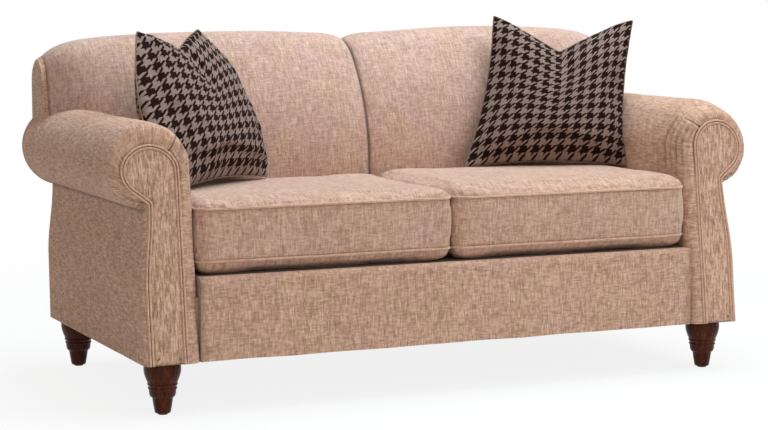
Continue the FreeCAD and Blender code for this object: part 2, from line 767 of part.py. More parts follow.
def make_arm_covers(post):
    """The inside arm and the padded roll in one skin, with its rounded front border, and the side panel."""
    edge = size_of("arm_edge_round")
    rings = [arm_ring(edge * drawn_in, lambda z, behind=behind: face_y(z, edge * behind))
             for drawn_in, behind in ROUND_SHARES]
    rings.append(arm_ring(0, lambda z: rear_y(z, "outside_back_thickness")))
    soft = document.addObject("Part::Feature", "arm_soft")
    soft.Shape = faceted(rings)
    cavity = common("arm_cavity",
                    plank("arm_cavity_blank", FRONT_VIEW,
                          roll_profile("arm_pad", "underside_height - cut_overrun"),
                          *REACH),
                    side_outline("arm_cavity_side", "facing_depth", "-cut_overrun"))
    window = common("facing_window",
                    plank("facing_window_blank", FRONT_VIEW,
                          facing_profile("0", "underside_height - cut_overrun"),
                          *REACH),
                    front_slab("facing_window_slab", "-cut_overrun", "facing_depth"))
    rail = box("rail_pocket", ("0", CAVITY_X), (RAIL_FRONT, RAIL_BACK), (BED, SPRING_BED))
    below = box("inside_arm_foot", ("arm_inner_half - cut_overrun", CAVITY_X),
                (RAIL_BACK, f"{REAR} + cut_overrun"),
                ("underside_height - cut_overrun", "slat_bottom"))
    path = [(web_y(place, "2 * web_thickness + soft_clearance"), place)
            for place in ("slat_bottom", "roll_height")]
    path += [(f"{REAR} + cut_overrun", "roll_height"), (f"{REAR} + cut_overrun", "slat_bottom")]
    behind = plank("inside_arm_end", SIDE_VIEW, path[::-1], "arm_inner_half - cut_overrun", CAVITY_X)
    pair(cut("arm_cover", soft, cavity, window, rail, below, behind, post), "arm_cover")
    panel = common("side_panel",
                   plank("arm_whole", FRONT_VIEW, arm_profile("0", "underside_height"), *REACH),
                   side_outline("side_panel_side", "0", "outside_back_thickness"),
                   box("side_panel_room", (PANEL_X, "body_half_width + cut_overrun"), REACH,
                       ("underside_height", junction_z(NECK_X, "roll_radius"))))
    pair(cut("outside_arm", panel, soft, window), "outside_arm")
    facing = common("arm_facing",
                    plank("facing_blank", FRONT_VIEW, facing_profile("0", "underside_height"), *REACH),
                    front_slab("facing_slab", "0", "facing_depth"))
    pair(facing, "arm_facing")


def make_facing_welts():
    """The double welt round each facing: two cords side by side, parted by a groove."""
    half, groove = "welt_half_width", "(welt_groove / 2)"
    bottom, below = "underside_height", "underside_height - cut_overrun"
    ring = cut("welt_ring", plank("welt_outer", FRONT_VIEW, facing_profile(half, bottom), *REACH),
               plank("welt_inner", FRONT_VIEW, facing_profile(f"-{half}", below), *REACH))
    proud = common("welt_proud_ring", ring, front_slab("welt_slab", "-welt_proud", "0"))
    groove_ring = cut("groove_ring", plank("groove_outer", FRONT_VIEW, facing_profile(groove, below), *REACH),
                      plank("groove_inner", FRONT_VIEW, facing_profile(f"-{groove}", below), *REACH))
    trough = common("groove_trough", groove_ring,
                    front_slab("groove_slab", "-welt_proud - cut_overrun", "welt_groove_depth - welt_proud"))
    welt = cut("arm_facing_welt", proud, trough)
    group = document.addObject("Part::Compound", "arm_facing_welts")
    group.Links = [welt, mirrored("arm_facing_welt_left", welt)]
    keep(group, "arm_facing_welts")


# Shape of the inside back from the middle seam to its end: how far along, how full, how far set back, how low
BACK_SHARES = (
    (0.000, 0.00, 0.00, 0.00),
    (0.020, 0.42, 0.00, 0.00),
    (0.070, 0.80, 0.00, 0.00),
    (0.180, 0.97, 0.00, 0.00),
    (0.420, 1.00, 0.00, 0.02),
    (0.660, 1.00, 0.03, 0.06),
    (0.820, 0.98, 0.12, 0.13),
    (0.880, 0.97, 0.23, 0.20),
    (0.930, 0.95, 0.40, 0.30),
    (0.970, 0.92, 0.64, 0.46),
    (1.000, 0.90, 0.92, 0.74),
)


SWEEP_STEPS, CREST_STEPS = 5, 6


def back_section(x, full, setback, drop, shrink=0.0):
    """The back from the side at one place: upright, then arching back and over the crest, in short chords."""
    near = size_of(f"{FRONT} + back_front_reach") + size_of("seam_depth") * (1 - full)
    near += size_of("end_setback") * setback + shrink
    top = size_of("crest_height") - size_of("seam_dip") * (1 - full) - size_of("end_drop") * drop - shrink
    far = size_of(REAR) - size_of("seam_rear_dip") * (1 - full) - shrink
    tight = size_of("crest_seam_radius") + (size_of("crest_radius") - size_of("crest_seam_radius")) * full
    tight += (size_of("end_radius") - tight) * setback
    start = size_of("back_straight_top") - shrink
    width, height = far - near - 2 * tight, top - start - tight
    spread = (width * width + height * height) / (2 * width)
    turn = math.asin(height / spread)
    wide_centre = Vector(x, near + spread + tight, start)
    centre = Vector(x, far - tight, top - tight)

    def on(middle, radius, angle):
        return middle + Vector(0, -radius * math.cos(angle), radius * math.sin(angle))

    sweep = [on(wide_centre, spread + tight, turn * step / SWEEP_STEPS) for step in range(SWEEP_STEPS)]
    crest = [on(centre, tight, turn + (math.pi - turn) * step / CREST_STEPS)
             for step in range(CREST_STEPS + 1)]
    bottom = size_of(DECK_TOP)
    corners = [Vector(x, near, bottom)] + sweep + crest + [Vector(x, far, bottom)]
    return corners


def make_back():
    """The two padded panels of the inside back, their end bands and the flat outside back."""
    half = size_of("back_half_width")
    gap = size_of("soft_clearance / 2")
    sections = [back_section(gap + share * (half - gap), *shape) for share, *shape in BACK_SHARES]
    panel = document.addObject("Part::Feature", "back_panel")
    panel.Shape = faceted(sections)
    ends = [back_section(half, *BACK_SHARES[-1][1:]),
            back_section(half + size_of("end_band"), *BACK_SHARES[-1][1:], shrink=size_of("end_band_shrink"))]
    band = document.addObject("Part::Feature", "back_band")
    band.Shape = faceted(ends)
    arm = plank("arm_room", FRONT_VIEW,
                arm_profile("seat_clearance", "underside_height - cut_overrun"), *REACH)
    inset = "outside_back_thickness"
    web = "(2 * web_thickness)"
    high = "(post_top + seat_clearance)"
    path = [(web_y(DECK_TOP, web), f"{DECK_TOP} - cut_overrun"),
            (f"{REAR} + cut_overrun", f"{DECK_TOP} - cut_overrun"),
            (f"{REAR} + cut_overrun", "outside_back_top"),
            (rear_y("outside_back_top", inset), "outside_back_top"),
            (rear_y("post_shoulder", inset), "post_shoulder"),
            (f"{web_y('post_top')} + post_top_width", high), (web_y("post_top", web), high),
            (web_y(DECK_TOP, web), DECK_TOP)]
    frame = plank("frame_room", SIDE_VIEW, path, "0", f"{SIDE_X} + seat_clearance")
    path = [(rear_y(place, inset), place) for place in ("underside_height", "outside_back_top")]
    path += [(f"{REAR} + cut_overrun", "outside_back_top"), (f"{REAR} + cut_overrun", "underside_height")]
    beyond = plank("outside_back_room", SIDE_VIEW, path[::-1], SIDE_X, "body_half_width + roll_radius")
    under_roll = box("under_roll", ("arm_inner_half", "body_half_width + roll_radius"), REACH,
                     ("underside_height", "roll_height"))
    pair(cut("inside_back", panel, arm, under_roll, frame, beyond), "inside_back")
    pair(cut("back_end_band", band, arm, under_roll, beyond), "back_end_band")


def make_outside_back():
    """The flat outside back, cut to the outline of the arms and the crest, leaning with the rear plane."""
    slab_path = []
    low, high = "(underside_height - cut_overrun)", "(crest_height + cut_overrun)"
    for place, inset in ((low, "outside_back_thickness"), (low, "0"),
                         (high, "0"), (high, "outside_back_thickness")):
        slab_path.append((rear_y(place, inset), place))
    span = "(body_half_width + roll_radius + cut_overrun)"
    slab = plank("outside_back_slab", SIDE_VIEW, slab_path, f"-{span}", span)
    arm = plank("outside_back_arm", FRONT_VIEW, arm_profile("0", "underside_height"), *REACH)
    upper_half = "(back_half_width + end_band - outside_back_inset)"
    middle = box("outside_back_middle", ("-arm_inner_half", "arm_inner_half"), REACH,
                 ("underside_height", "outside_back_top"))
    upper = box("outside_back_upper", (f"-{upper_half}", upper_half), REACH,
                ("roll_height", "outside_back_top"))
    sheet_outline = document.addObject("Part::MultiFuse", "outside_back_outline")
    sheet_outline.Shapes = [middle, upper, arm, mirrored("outside_back_arm_left", arm)]
    sheet_outline.Refine = True
    keep(common("outside_back", sheet_outline, slab), "outside_back")


def make_dust_cover():
    """Black cambric stapled under the frame, cut back round each foot."""
    hem = rear_y(BED, "outside_back_thickness + fabric_return")
    cloth = box("dust_cloth", (f"-{PANEL_X}", PANEL_X), (RAIL_BACK, hem), (f"{BED} - dust_thickness", BED))
    half = "(foot_top_radius + dust_hole_margin)"
    notches = [box("dust_notch", sides, (f"{place} - {half}", f"{place} + {half}"),
                   (f"{BED} - cut_overrun", f"{BED} + cut_overrun"))
               for sides in (("-body_half_width", f"{half} - foot_x"),
                             (f"foot_x - {half}", "body_half_width"))
               for place in (FOOT_FRONT, FOOT_BACK)]
    keep(cut("dust_cover", cloth, *notches), "dust_cover")


# Feet
PLATE_BOTTOM = f"({BED} - plate_thickness)"


def body_plane(body, role):
    """One of a body's own origin planes."""
    return next(feature for feature in body.Origin.OriginFeatures if feature.Role == role)


def revolved_body(name, path):
    """A PartDesign body turned about Z from a profile in the XZ plane, given as radius and height."""
    body = document.addObject("PartDesign::Body", name)
    sketch = body.newObject("Sketcher::SketchObject", f"{name}_profile")
    sketch.AttachmentSupport = (body_plane(body, "XZ_Plane"), [""])
    sketch.MapMode = "FlatFace"
    draw(sketch, path)
    turned = body.newObject("PartDesign::Revolution", f"{name}_turned")
    turned.Profile = sketch
    turned.ReferenceAxis = (sketch, ["V_Axis"])
    turned.Angle = 360
    return body


# Where a swelling of the foot is bent, as shares of half its height from its middle
BELLY_SHARES = (0.6,)


def belly(wide, narrow, middle, half, shares):
    """Corners on the arc that swells from a narrow radius to a wide one at its middle height."""
    sag = f"({wide} - {narrow})"
    bend = f"(({half} * {half} + {sag} * {sag}) / (2 * {sag}))"
    return [(f"{wide} - {bend} + sqrt({bend} * {bend} - {half} * {half} * {share * share})",
             f"{middle} + {half} * {share}") for share in shares]


def foot_profile():
    """The turned foot: a bun, a neck, a ring and a taper, bored from above for its bolt."""
    top = PLATE_BOTTOM
    bun_low = f"({top} - bun_height)"
    neck_low = f"({bun_low} - neck_height)"
    ring_low = f"({neck_low} - ring_height)"
    bore = "(bolt_radius + bolt_clearance)"
    bore_end = f"({top} - bolt_in_foot)"
    rising = BELLY_SHARES
    sinking = [-share for share in reversed(BELLY_SHARES)]
    bun = (f"({bun_low} + bun_height / 2)", "(bun_height / 2)")
    ring = (f"({neck_low} - ring_height / 2)", "(ring_height / 2)")
    profile = [("0", "glide_height"), ("taper_foot_radius - foot_round", "glide_height"),
               ("taper_foot_radius", "glide_height + foot_round"), ("taper_top_radius", ring_low)]
    profile += belly("ring_radius", "taper_top_radius", *ring, sinking)
    profile += belly("ring_radius", "neck_radius", *ring, rising)
    profile += [("neck_radius", neck_low), ("neck_radius", bun_low)]
    profile += belly("bun_radius", "neck_radius", *bun, sinking)
    profile += belly("bun_radius", "foot_top_radius", *bun, rising)
    return profile + [("foot_top_radius", top), (bore, top), (bore, bore_end), ("0", bore_end)]


def make_feet():
    """Four turned feet, with their plates, hanger bolts and glides."""
    feet, plates, bolts, glides = [], [], [], []
    for place, y in (("front", FOOT_FRONT), ("rear", FOOT_BACK)):
        for hand, side in (("left", -1), ("right", 1)):
            x = f"{side} * foot_x"
            foot = revolved_body(f"foot_{place}_{hand}", foot_profile())
            bind(foot, "Placement.Base.x", x)
            bind(foot, "Placement.Base.y", y)
            feet.append(foot)
            half = "(plate_side / 2)"
            plate = box("foot_plate_blank", (f"{x} - {half}", f"{x} + {half}"),
                        (f"{y} - {half}", f"{y} + {half}"),
                        (PLATE_BOTTOM, BED))
            hole = cylinder("foot_plate_bore", "bolt_radius + bolt_clearance", x, y,
                            f"{PLATE_BOTTOM} - cut_overrun",
                            f"{BED} + cut_overrun")
            plates.append(cut("foot_plate", plate, hole))
            bolts.append(cylinder("hanger_bolt", "bolt_radius", x, y,
                                  f"{PLATE_BOTTOM} - bolt_in_foot + soft_clearance",
                                  f"{BED} + bolt_in_frame - soft_clearance"))
            glides.append(cylinder("foot_glide", "glide_radius", x, y, "0", "glide_height"))
    groups = {"turned_feet": feet, "foot_plates": plates, "hanger_bolts": bolts, "foot_glides": glides}
    for label, pieces in groups.items():
        group = document.addObject("Part::Compound", label)
        group.Links = pieces
        keep(group, label)


# Loose cushions
CORNER_STEPS = 3


def corner_ring(x_low, x_high, y_low, y_high, corner, z):
    """Corners of a rectangle whose own corners are rounded in short chords."""
    ring = []
    across, along = (x_low + corner, x_high - corner), (y_low + corner, y_high - corner)
    for quarter, (right, back) in enumerate(((1, 0), (1, 1), (0, 1), (0, 0))):
        middle = Vector(across[right], along[back], z)
        for step in range(CORNER_STEPS + 1):
            turn = (quarter - 1 + step / CORNER_STEPS) * math.pi / 2
            ring.append(middle + Vector(math.cos(turn), math.sin(turn), 0) * corner)
    return ring


# How a cushion's crown rises: how far in from the welt, as a share of its depth, and how high
CROWN_SHARES = ((0.0, 0.0), (0.05, 0.40), (0.13, 0.72), (0.24, 0.93), (0.37, 1.0))


def make_seat_cushion(label, side):
    """A box cushion: boxing drawn in between two corded edges, crowns, and a foam block inside."""
    cord = size_of("cord_proud")
    gap = size_of("soft_clearance")
    ends = sorted((side * (gap / 2 + cord), side * (size_of("arm_inner_half") - gap - cord)))
    near = size_of(f"{FRONT} + cushion_front_reach") + cord
    far = size_of(f"{FRONT} + back_front_reach") - gap - cord
    low, high = size_of("cushion_bottom_welt"), size_of("cushion_bottom_welt + cushion_boxing")
    corner = size_of("cushion_corner")
    deep = far - near
    middle = (low + high) / 2

    def rounded_box(inset, z):
        return corner_ring(ends[0] + inset, ends[1] - inset, near + inset, far - inset, corner, z)

    sag = low - size_of(DECK_TOP) - gap
    rings = [rounded_box(share * deep, low - height * sag) for share, height in reversed(CROWN_SHARES)]
    rings.append(rounded_box(size_of("cushion_draw_in"), middle))
    rings += [rounded_box(share * deep, high + height * size_of("cushion_crown"))
              for share, height in CROWN_SHARES]
    hull = faceted(rings)
    wrap = size_of("cushion_fabric")
    half_foam = size_of("cushion_foam / 2")
    foam_size = Vector(ends[1] - ends[0] - 2 * wrap, deep - 2 * wrap, 2 * half_foam)
    room = Part.makeBox(*foam_size, Vector(ends[0] + wrap, near + wrap, middle - half_foam))
    cover = document.addObject("Part::Feature", f"cushion_cover_{label}")
    cover.Shape = hull.cut(room)
    keep(cover, f"seat_cushion_cover_{label}")
    foam = document.addObject("Part::Feature", f"cushion_foam_{label}")
    foam.Shape = Part.makeBox(foam_size.x - 2 * gap, foam_size.y - 2 * gap, foam_size.z - 2 * gap,
                              Vector(ends[0] + wrap + gap, near + wrap + gap, middle - half_foam + gap))
    keep(foam, f"seat_cushion_foam_{label}")
    half_cord, edge = size_of("cord_height / 2"), size_of("cord_edge")
    cords = []
    for level in (low, high):
        levels = ((level - half_cord, edge), (level, cord), (level + half_cord, edge))
        grown = [corner_ring(ends[0] - out, ends[1] + out, near - out, far + out, corner + out, z)
                 for z, out in levels]
        cords.append(faceted(grown).cut(hull))
    welts = document.addObject("Part::Feature", f"cushion_welts_{label}")
    welts.Shape = Part.makeCompound(cords)
    keep(welts, f"seat_cushion_welts_{label}")


# How a pillow swells from its seam: how far in from the edge, as a share of its half width, and how thick
PILLOW_SHARES = ((0.0, 0.03), (0.12, 0.38), (0.32, 0.74), (0.66, 1.0))
# How far each side is drawn in, as a share: lower edge, right, the two slopes of the chopped top, left
DRAW_SHARES = (0.4, 1.0, 0.3, 0.3, 1.0)
SIDE_STEPS = 3


def pillow_ring(inset, z, skin):
    """Corners of a pillow's outline at one level: drawn-in sides, pointed ears and the chopped top."""
    bottom = size_of("pillow_bottom_half") * (1 - inset) - skin
    top = size_of("pillow_top_half") * (1 - inset) - skin
    tall = size_of("pillow_height")
    low, high = tall * inset / 2 + skin, tall * (1 - inset / 2) - skin
    dent = size_of("pillow_dent") * (1 - inset)

    def lean(y):
        return size_of("pillow_skew") * y / tall

    corners = [Vector(-bottom + lean(low), low, z), Vector(bottom + lean(low), low, z),
               Vector(top + lean(high), high, z), Vector(lean(high), high - dent, z),
               Vector(-top + lean(high), high, z)]
    points = []
    for number, share in enumerate(DRAW_SHARES):
        start, end = corners[number], corners[(number + 1) % len(corners)]
        depth = size_of("pillow_draw_in") * (1 - inset) * share
        inward = Vector(0, 0, 1).cross(end - start).normalize() * depth
        for step in range(SIDE_STEPS):
            along = step / SIDE_STEPS
            points.append(start + (end - start) * along + inward * (4 * along * (1 - along)))
    return points


def pillow_solid(skin):
    """A knife-edge pillow with its lower edge on the local X axis, drawn in by a skin's thickness."""
    half = size_of("pillow_thickness / 2") - skin
    rings = [pillow_ring(inset, -half * thick, skin) for inset, thick in reversed(PILLOW_SHARES)]
    rings += [pillow_ring(inset, half * thick, skin) for inset, thick in PILLOW_SHARES]
    return faceted(rings)


def make_pillow(label):
    """A scatter pillow leaning in its corner: the cover, and the filled insert inside it."""
    turn = math.degrees(math.atan2(size_of(f"pillow_{label}_turn"), size_of("pillow_turn_base")))
    lean = math.degrees(math.atan2(size_of(f"pillow_{label}_lean"), size_of("pillow_turn_base")))
    foot = Vector(*(size_of(f"pillow_{label}_{axis}") for axis in "xyz"))
    upright = FreeCAD.Rotation(Vector(0, 0, 1), turn) * FreeCAD.Rotation(Vector(1, 0, 0), 90 - lean)
    skin = size_of("pillow_skin")
    whole, room, fill = (pillow_solid(inset) for inset in (0.0, skin, skin + size_of("soft_clearance")))
    for name, shape in (("pillow_cover", whole.cut(room)), ("pillow_insert", fill)):
        piece = document.addObject("Part::Feature", f"{name}_{label}")
        piece.Shape = shape
        piece.Placement = FreeCAD.Placement(foot, upright)
        keep(piece, f"{name}_{label}")


back_post = make_posts()
make_base_rails()
make_corner_blocks()
make_arm_frame(back_post)
make_back_rails()
spring_loops = make_springs()
make_spring_clips()
make_tie_wires(spring_loops)
make_webbing()
make_deck()
make_rail_cover()
make_arm_covers(back_post)
make_facing_welts()
make_back()
make_outside_back()
make_dust_cover()
make_feet()
for cushion, hand in (("left", -1), ("right", 1)):
    make_seat_cushion(cushion, hand)
    make_pillow(cushion)

document.recompute()
for feature in document.Objects:
    if "Invalid" in feature.State or "Error" in feature.State:
        raise RuntimeError(f"{feature.Label} was not rebuilt: {feature.State}")
for feature in subparts:
    if feature.Shape.isNull() or not feature.Shape.isValid() or not feature.Shape.Solids:
        raise RuntimeError(f"{feature.Label} has no sound shape")
os.makedirs("parts", exist_ok=True)
for feature in subparts:
    feature.Shape.exportStep(f"parts/{feature.Label}.step")
    print(f"{feature.Label}: {len(feature.Shape.Solids)} solids, {feature.Shape.Volume / 1e6:.3f} litres")
print(f"{len(subparts)} sub-parts")
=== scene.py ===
# %% [markdown]
# # A rolled-arm sofa for two
# The sofa is covered in a slubby tweed: rolled arms with a piped facing, a tight back in two panels that
# rolls over the crest, two loose box cushions, two houndstooth pillows and four turned feet. The packed
# CAD model is the fixed frame: it says where everything is, and each piece made here takes the place of
# one of its plain solids. +X is the viewer's right, +Y the back, +Z up, all in metres.

# %% Load the frame
import json
import math

import bmesh
import bpy
from mathutils import Matrix, Vector, noise


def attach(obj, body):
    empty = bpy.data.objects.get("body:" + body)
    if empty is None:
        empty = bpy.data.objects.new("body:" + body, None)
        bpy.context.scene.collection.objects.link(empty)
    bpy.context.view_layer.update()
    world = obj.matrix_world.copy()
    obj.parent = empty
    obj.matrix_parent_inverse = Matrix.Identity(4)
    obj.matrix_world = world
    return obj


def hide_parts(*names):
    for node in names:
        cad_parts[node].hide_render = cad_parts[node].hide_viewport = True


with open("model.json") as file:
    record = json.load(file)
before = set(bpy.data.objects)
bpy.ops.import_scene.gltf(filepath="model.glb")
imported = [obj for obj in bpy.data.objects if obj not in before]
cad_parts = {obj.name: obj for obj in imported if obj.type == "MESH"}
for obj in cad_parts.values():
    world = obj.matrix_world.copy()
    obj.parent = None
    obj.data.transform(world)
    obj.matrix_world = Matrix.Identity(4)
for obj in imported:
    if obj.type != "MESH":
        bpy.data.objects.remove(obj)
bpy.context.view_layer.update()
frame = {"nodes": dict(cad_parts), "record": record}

# %% [markdown]
# ## Camera
# The photograph was taken from the left, a little above the arms and from far enough away that the long
# front hardly converges. A long lens at that distance gives the same calm perspective.


# %% Camera
def pick(*pieces):
    """Selects these pieces alone, so that the next operator acts on them or on the new piece only."""
    if bpy.context.object and bpy.context.object.mode != "OBJECT":
        bpy.ops.object.mode_set(mode="OBJECT")
    bpy.ops.object.select_all(action="DESELECT")
    for piece in pieces:
        piece.select_set(True)
    if pieces:
        bpy.context.view_layer.objects.active = pieces[0]


pick()
bpy.ops.object.camera_add(location=(-2.2053, -4.8157, 0.9704),
                          rotation=(math.radians(90 - 6.279), 0, math.radians(-24.456)))
camera = bpy.context.object
camera.data.lens = 98.4375
camera.data.sensor_width = 36
bpy.context.scene.camera = camera
print("camera", camera.data.lens, "mm lens")

# %% [markdown]
# ## Nodes
# A material is a chain of small steps. These helpers add a step and join what goes into it, mix two
# colours, and stretch a range of values, so that each finish further down reads as a short recipe.


# %% Steps of a material
def fill(tree, pairs):
    """Joins each input to the output beside it, or sets it to the value there; None leaves it alone."""
    for socket, value in pairs:
        if isinstance(value, bpy.types.NodeSocket):
            tree.links.new(value, socket)
        elif value is not None:
            socket.default_value = value


def step(tree, kind, *inputs, named=None, **settings):
    """Adds a node, sets its options, and fills its inputs, in order or by name."""
    made = tree.nodes.new(f"ShaderNode{kind}")
    for option, value in settings.items():
        setattr(made, option, value)
    fill(tree, zip(made.inputs, inputs))
    fill(tree, ((made.inputs[title], value) for title, value in (named or {}).items()))
    return made


def sums(tree, operation, *inputs):
    """One arithmetic step."""
    return step(tree, "Math", *inputs, operation=operation).outputs[0]


def blended(tree, share, first, second, how="MIX"):
    """Two colours mixed by a share."""
    mixer = step(tree, "Mix", share, data_type="RGBA", blend_type=how, clamp_factor=True)
    fill(tree, ((mixer.inputs[6], first), (mixer.inputs[7], second)))
    return mixer.outputs[2]


def stretched(tree, value, low, high, to_low=0.0, to_high=1.0):
    """A value's range from low to high, spread over another range and held there."""
    return step(tree, "MapRange", value, low, high, to_low, to_high).outputs[0]


def clouds(tree, place, scale, detail=2.0, roughness=0.5):
    """Soft noise from 0 to 1 at a place."""
    return step(tree, "TexNoise", named={"Vector": place, "Scale": scale, "Detail": detail,
                                         "Roughness": roughness}).outputs[0]


def new_group(title, inputs, outputs):
    """An empty node group; inputs and outputs give each socket's name and kind."""
    tree = bpy.data.node_groups.new(title, "ShaderNodeTree")
    for in_out, sockets in (("INPUT", inputs), ("OUTPUT", outputs)):
        for name, kind in sockets.items():
            tree.interface.new_socket(name, in_out=in_out, socket_type=f"NodeSocket{kind}")
    return tree, tree.nodes.new("NodeGroupInput").outputs, tree.nodes.new("NodeGroupOutput").inputs


def new_material(title, **shader_values):
    """A material with its Principled shader, whose constant values sit on the shader's own sockets."""
    material = bpy.data.materials.new(title)
    material.use_nodes = True
    shader = material.node_tree.nodes["Principled BSDF"]
    for name, value in shader_values.items():
        shader.inputs[name.replace("_", " ")].default_value = value
    return material, material.node_tree, shader


def cover(tree, shader, colour, roughness, height, strength=0.45, distance=0.0009):
    """Gives the shader its colour and roughness, and bumps its surface by a height."""
    bump = step(tree, "Bump", named={"Strength": strength, "Distance": distance, "Height": height})
    fill(tree, ((shader.inputs["Base Color"], colour), (shader.inputs["Roughness"], roughness),
                (shader.inputs["Normal"], bump.outputs[0])))


def place_group(tree, group, **values):
    """Puts a node group into a material with its own values."""
    return step(tree, "Group", node_tree=group, named=values).outputs


# %% [markdown]
# ## Yarns
# Woven cloth is two sets of yarns at right angles. One yarn is a thin strip with a rounded top whose shade
# drifts along its length, with thick pale slubs where the spinning let through a tuft. The group makes one
# set; each cloth uses it twice, with across and along swapped.

# %% One set of yarns
yarns, given, out = new_group(
    "yarn_set", dict.fromkeys(("Across", "Along", "Pitch", "Run", "Seed"), "Float"),
    dict.fromkeys(("Shade", "Slub", "Round", "Number"), "Float"))
wander = step(yarns, "CombineXYZ", sums(yarns, "MULTIPLY", given["Across"], 30.0),
              sums(yarns, "MULTIPLY", given["Along"], 14.0), given["Seed"]).outputs[0]
sway = sums(yarns, "MULTIPLY", sums(yarns, "SUBTRACT", clouds(yarns, wander, 1.0), 0.5), 0.9)
count = sums(yarns, "ADD", sums(yarns, "DIVIDE", given["Across"], given["Pitch"]), sway)
number = sums(yarns, "FLOOR", count)
within = sums(yarns, "SUBTRACT", count, number)
rounded = sums(yarns, "MULTIPLY", sums(yarns, "MULTIPLY", within, sums(yarns, "SUBTRACT", 1.0, within)), 4.0)
drift = step(yarns, "CombineXYZ", sums(yarns, "MULTIPLY", number, 7.31),
             sums(yarns, "MULTIPLY", given["Along"], given["Run"]), given["Seed"]).outputs[0]
tufts = step(yarns, "CombineXYZ", sums(yarns, "MULTIPLY", number, 5.373),
             sums(yarns, "MULTIPLY", sums(yarns, "MULTIPLY", given["Along"], given["Run"]), 1.7),
             sums(yarns, "ADD", given["Seed"], 9.0)).outputs[0]
yarns.links.new(clouds(yarns, drift, 1.0, 2.0, 0.6), out["Shade"])
yarns.links.new(stretched(yarns, clouds(yarns, tufts, 1.0, 1.0), 0.6, 0.72), out["Slub"])
yarns.links.new(rounded, out["Round"])
yarns.links.new(number, out["Number"])
print("yarn set has", len(yarns.nodes), "steps")


def thread_set(tree, across, along, pitch, run, seed):
    """One set of yarns in a cloth: how far apart they lie, and how fast a yarn changes along its run."""
    return place_group(tree, yarns, Across=across, Along=along, Pitch=pitch, Run=run, Seed=seed)

# %% [markdown]
# ## Tweed
# The cover is a beige linen-look cloth. Close up it is a plain weave; from across the room what shows are
# thin strokes, lighter and darker, where single slubbed yarns run for a few centimetres: a cross-hatch of
# short lines. Two fine yarn sets give the weave and two coarser ones the strokes. It reads the pieces' own
# UV maps, laid out in metres, so the yarns keep their real size everywhere. Each piece also carries a value
# that is high where the cloth dives into a seam or fold; there the cloth's colour is darkened as painted shade.

# %% Tweed cloth
weave, given, out = new_group(
    "tweed_weave",
    {"Cloth": "Vector", **dict.fromkeys(("Base", "Pale", "Deep"), "Color"),
     **dict.fromkeys(("Upright", "Level", "Slubs", "Crease"), "Float")},
    {"Color": "Color", "Height": "Float", "Roughness": "Float"})
across, up = step(weave, "SeparateXYZ", given["Cloth"]).outputs[:2]
warp_fine = thread_set(weave, across, up, 0.0016, 90.0, 3.0)
weft_fine = thread_set(weave, up, across, 0.0016, 90.0, 7.0)
warp_slub = thread_set(weave, across, up, 0.0030, 30.0, 11.0)
weft_slub = thread_set(weave, up, across, 0.0032, 36.0, 17.0)


def woven(first, second):
    """Warp and weft in turn, as they pass over each other."""
    return step(weave, "Mix", over, None, first, second).outputs[0]


over = sums(weave, "FLOORED_MODULO", sums(weave, "ADD", warp_fine["Number"], weft_fine["Number"]), 2.0)
fine = woven(warp_fine["Shade"], weft_fine["Shade"])
broad = clouds(weave, given["Cloth"], 7.0, 3.0)
light = 0.5
for shade, strength in ((warp_slub["Shade"], given["Upright"]), (weft_slub["Shade"], given["Level"]),
                        (fine, 0.9), (broad, 0.26)):
    light = sums(weave, "MULTIPLY_ADD", sums(weave, "SUBTRACT", shade, 0.5), strength, light)
dye = stretched(weave, clouds(weave, given["Cloth"], 9.0, 2.0), 0.38, 0.62)
yellower, pinker, in_shade = (1.0, 1.01, 0.93, 1), (1.0, 0.98, 1.04, 1), (0.085, 0.045, 0.028, 1)
dyed = blended(weave, dye, *(blended(weave, 1.0, given["Base"], hue, "MULTIPLY") for hue in (yellower, pinker)))
colour = blended(weave, stretched(weave, light, 0.0, 0.5), given["Deep"], dyed)
colour = blended(weave, stretched(weave, light, 0.5, 1.0), colour, given["Pale"])
fleck = sums(weave, "MULTIPLY", sums(weave, "MAXIMUM", warp_slub["Slub"], weft_slub["Slub"]), given["Slubs"])
colour = blended(weave, sums(weave, "MULTIPLY", fleck, 0.8), colour, given["Pale"])
# Painted shade: the colour is pulled towards a dark brown where a piece's seam-and-fold value is high.
colour = blended(weave, sums(weave, "MULTIPLY", given["Crease"], 0.82), colour, in_shade)
height = sums(weave, "MULTIPLY_ADD", woven(warp_fine["Round"], weft_fine["Round"]), 0.5,
              sums(weave, "MULTIPLY_ADD", fleck, 0.6, light))
weave.links.new(colour, out["Color"])
weave.links.new(height, out["Height"])
weave.links.new(stretched(weave, fleck, 0.0, 1.0, 0.92, 0.8), out["Roughness"])


def make_tweed(title, upright, level, slubs, sheen=0.3, tint=1.0, cool=0.0):
    """A tweed; the weave is shared, and the strokes' directions and strength are its own."""
    material, tree, shader = new_material(title, Sheen_Weight=sheen, Sheen_Roughness=0.5,
                                          Sheen_Tint=(0.9, 0.97, 1.0, 1), Specular_IOR_Level=0.06)
    # cool makes the base cooler and more neutral: painted light, for the more neutral look that strong top light
    # gives.
    base = (0.56 * tint, (0.335 + 0.02 * cool) * tint, (0.235 + 0.045 * cool) * tint, 1)
    cloth = place_group(tree, weave, Cloth=step(tree, "UVMap", uv_map="cloth").outputs[0], Base=base,
                        Pale=tuple(min(part * more, 0.95) for part, more in zip(base, (1.4, 1.55, 1.65, 1))),
                        Deep=tuple(part * less for part, less in zip(base, (0.6, 0.56, 0.54, 1))),
                        Upright=upright, Level=level, Slubs=slubs,
                        Crease=step(tree, "Attribute", attribute_name="painted_crease_shade").outputs["Fac"])
    cover(tree, shader, cloth["Color"], cloth["Roughness"], cloth["Height"])
    return material


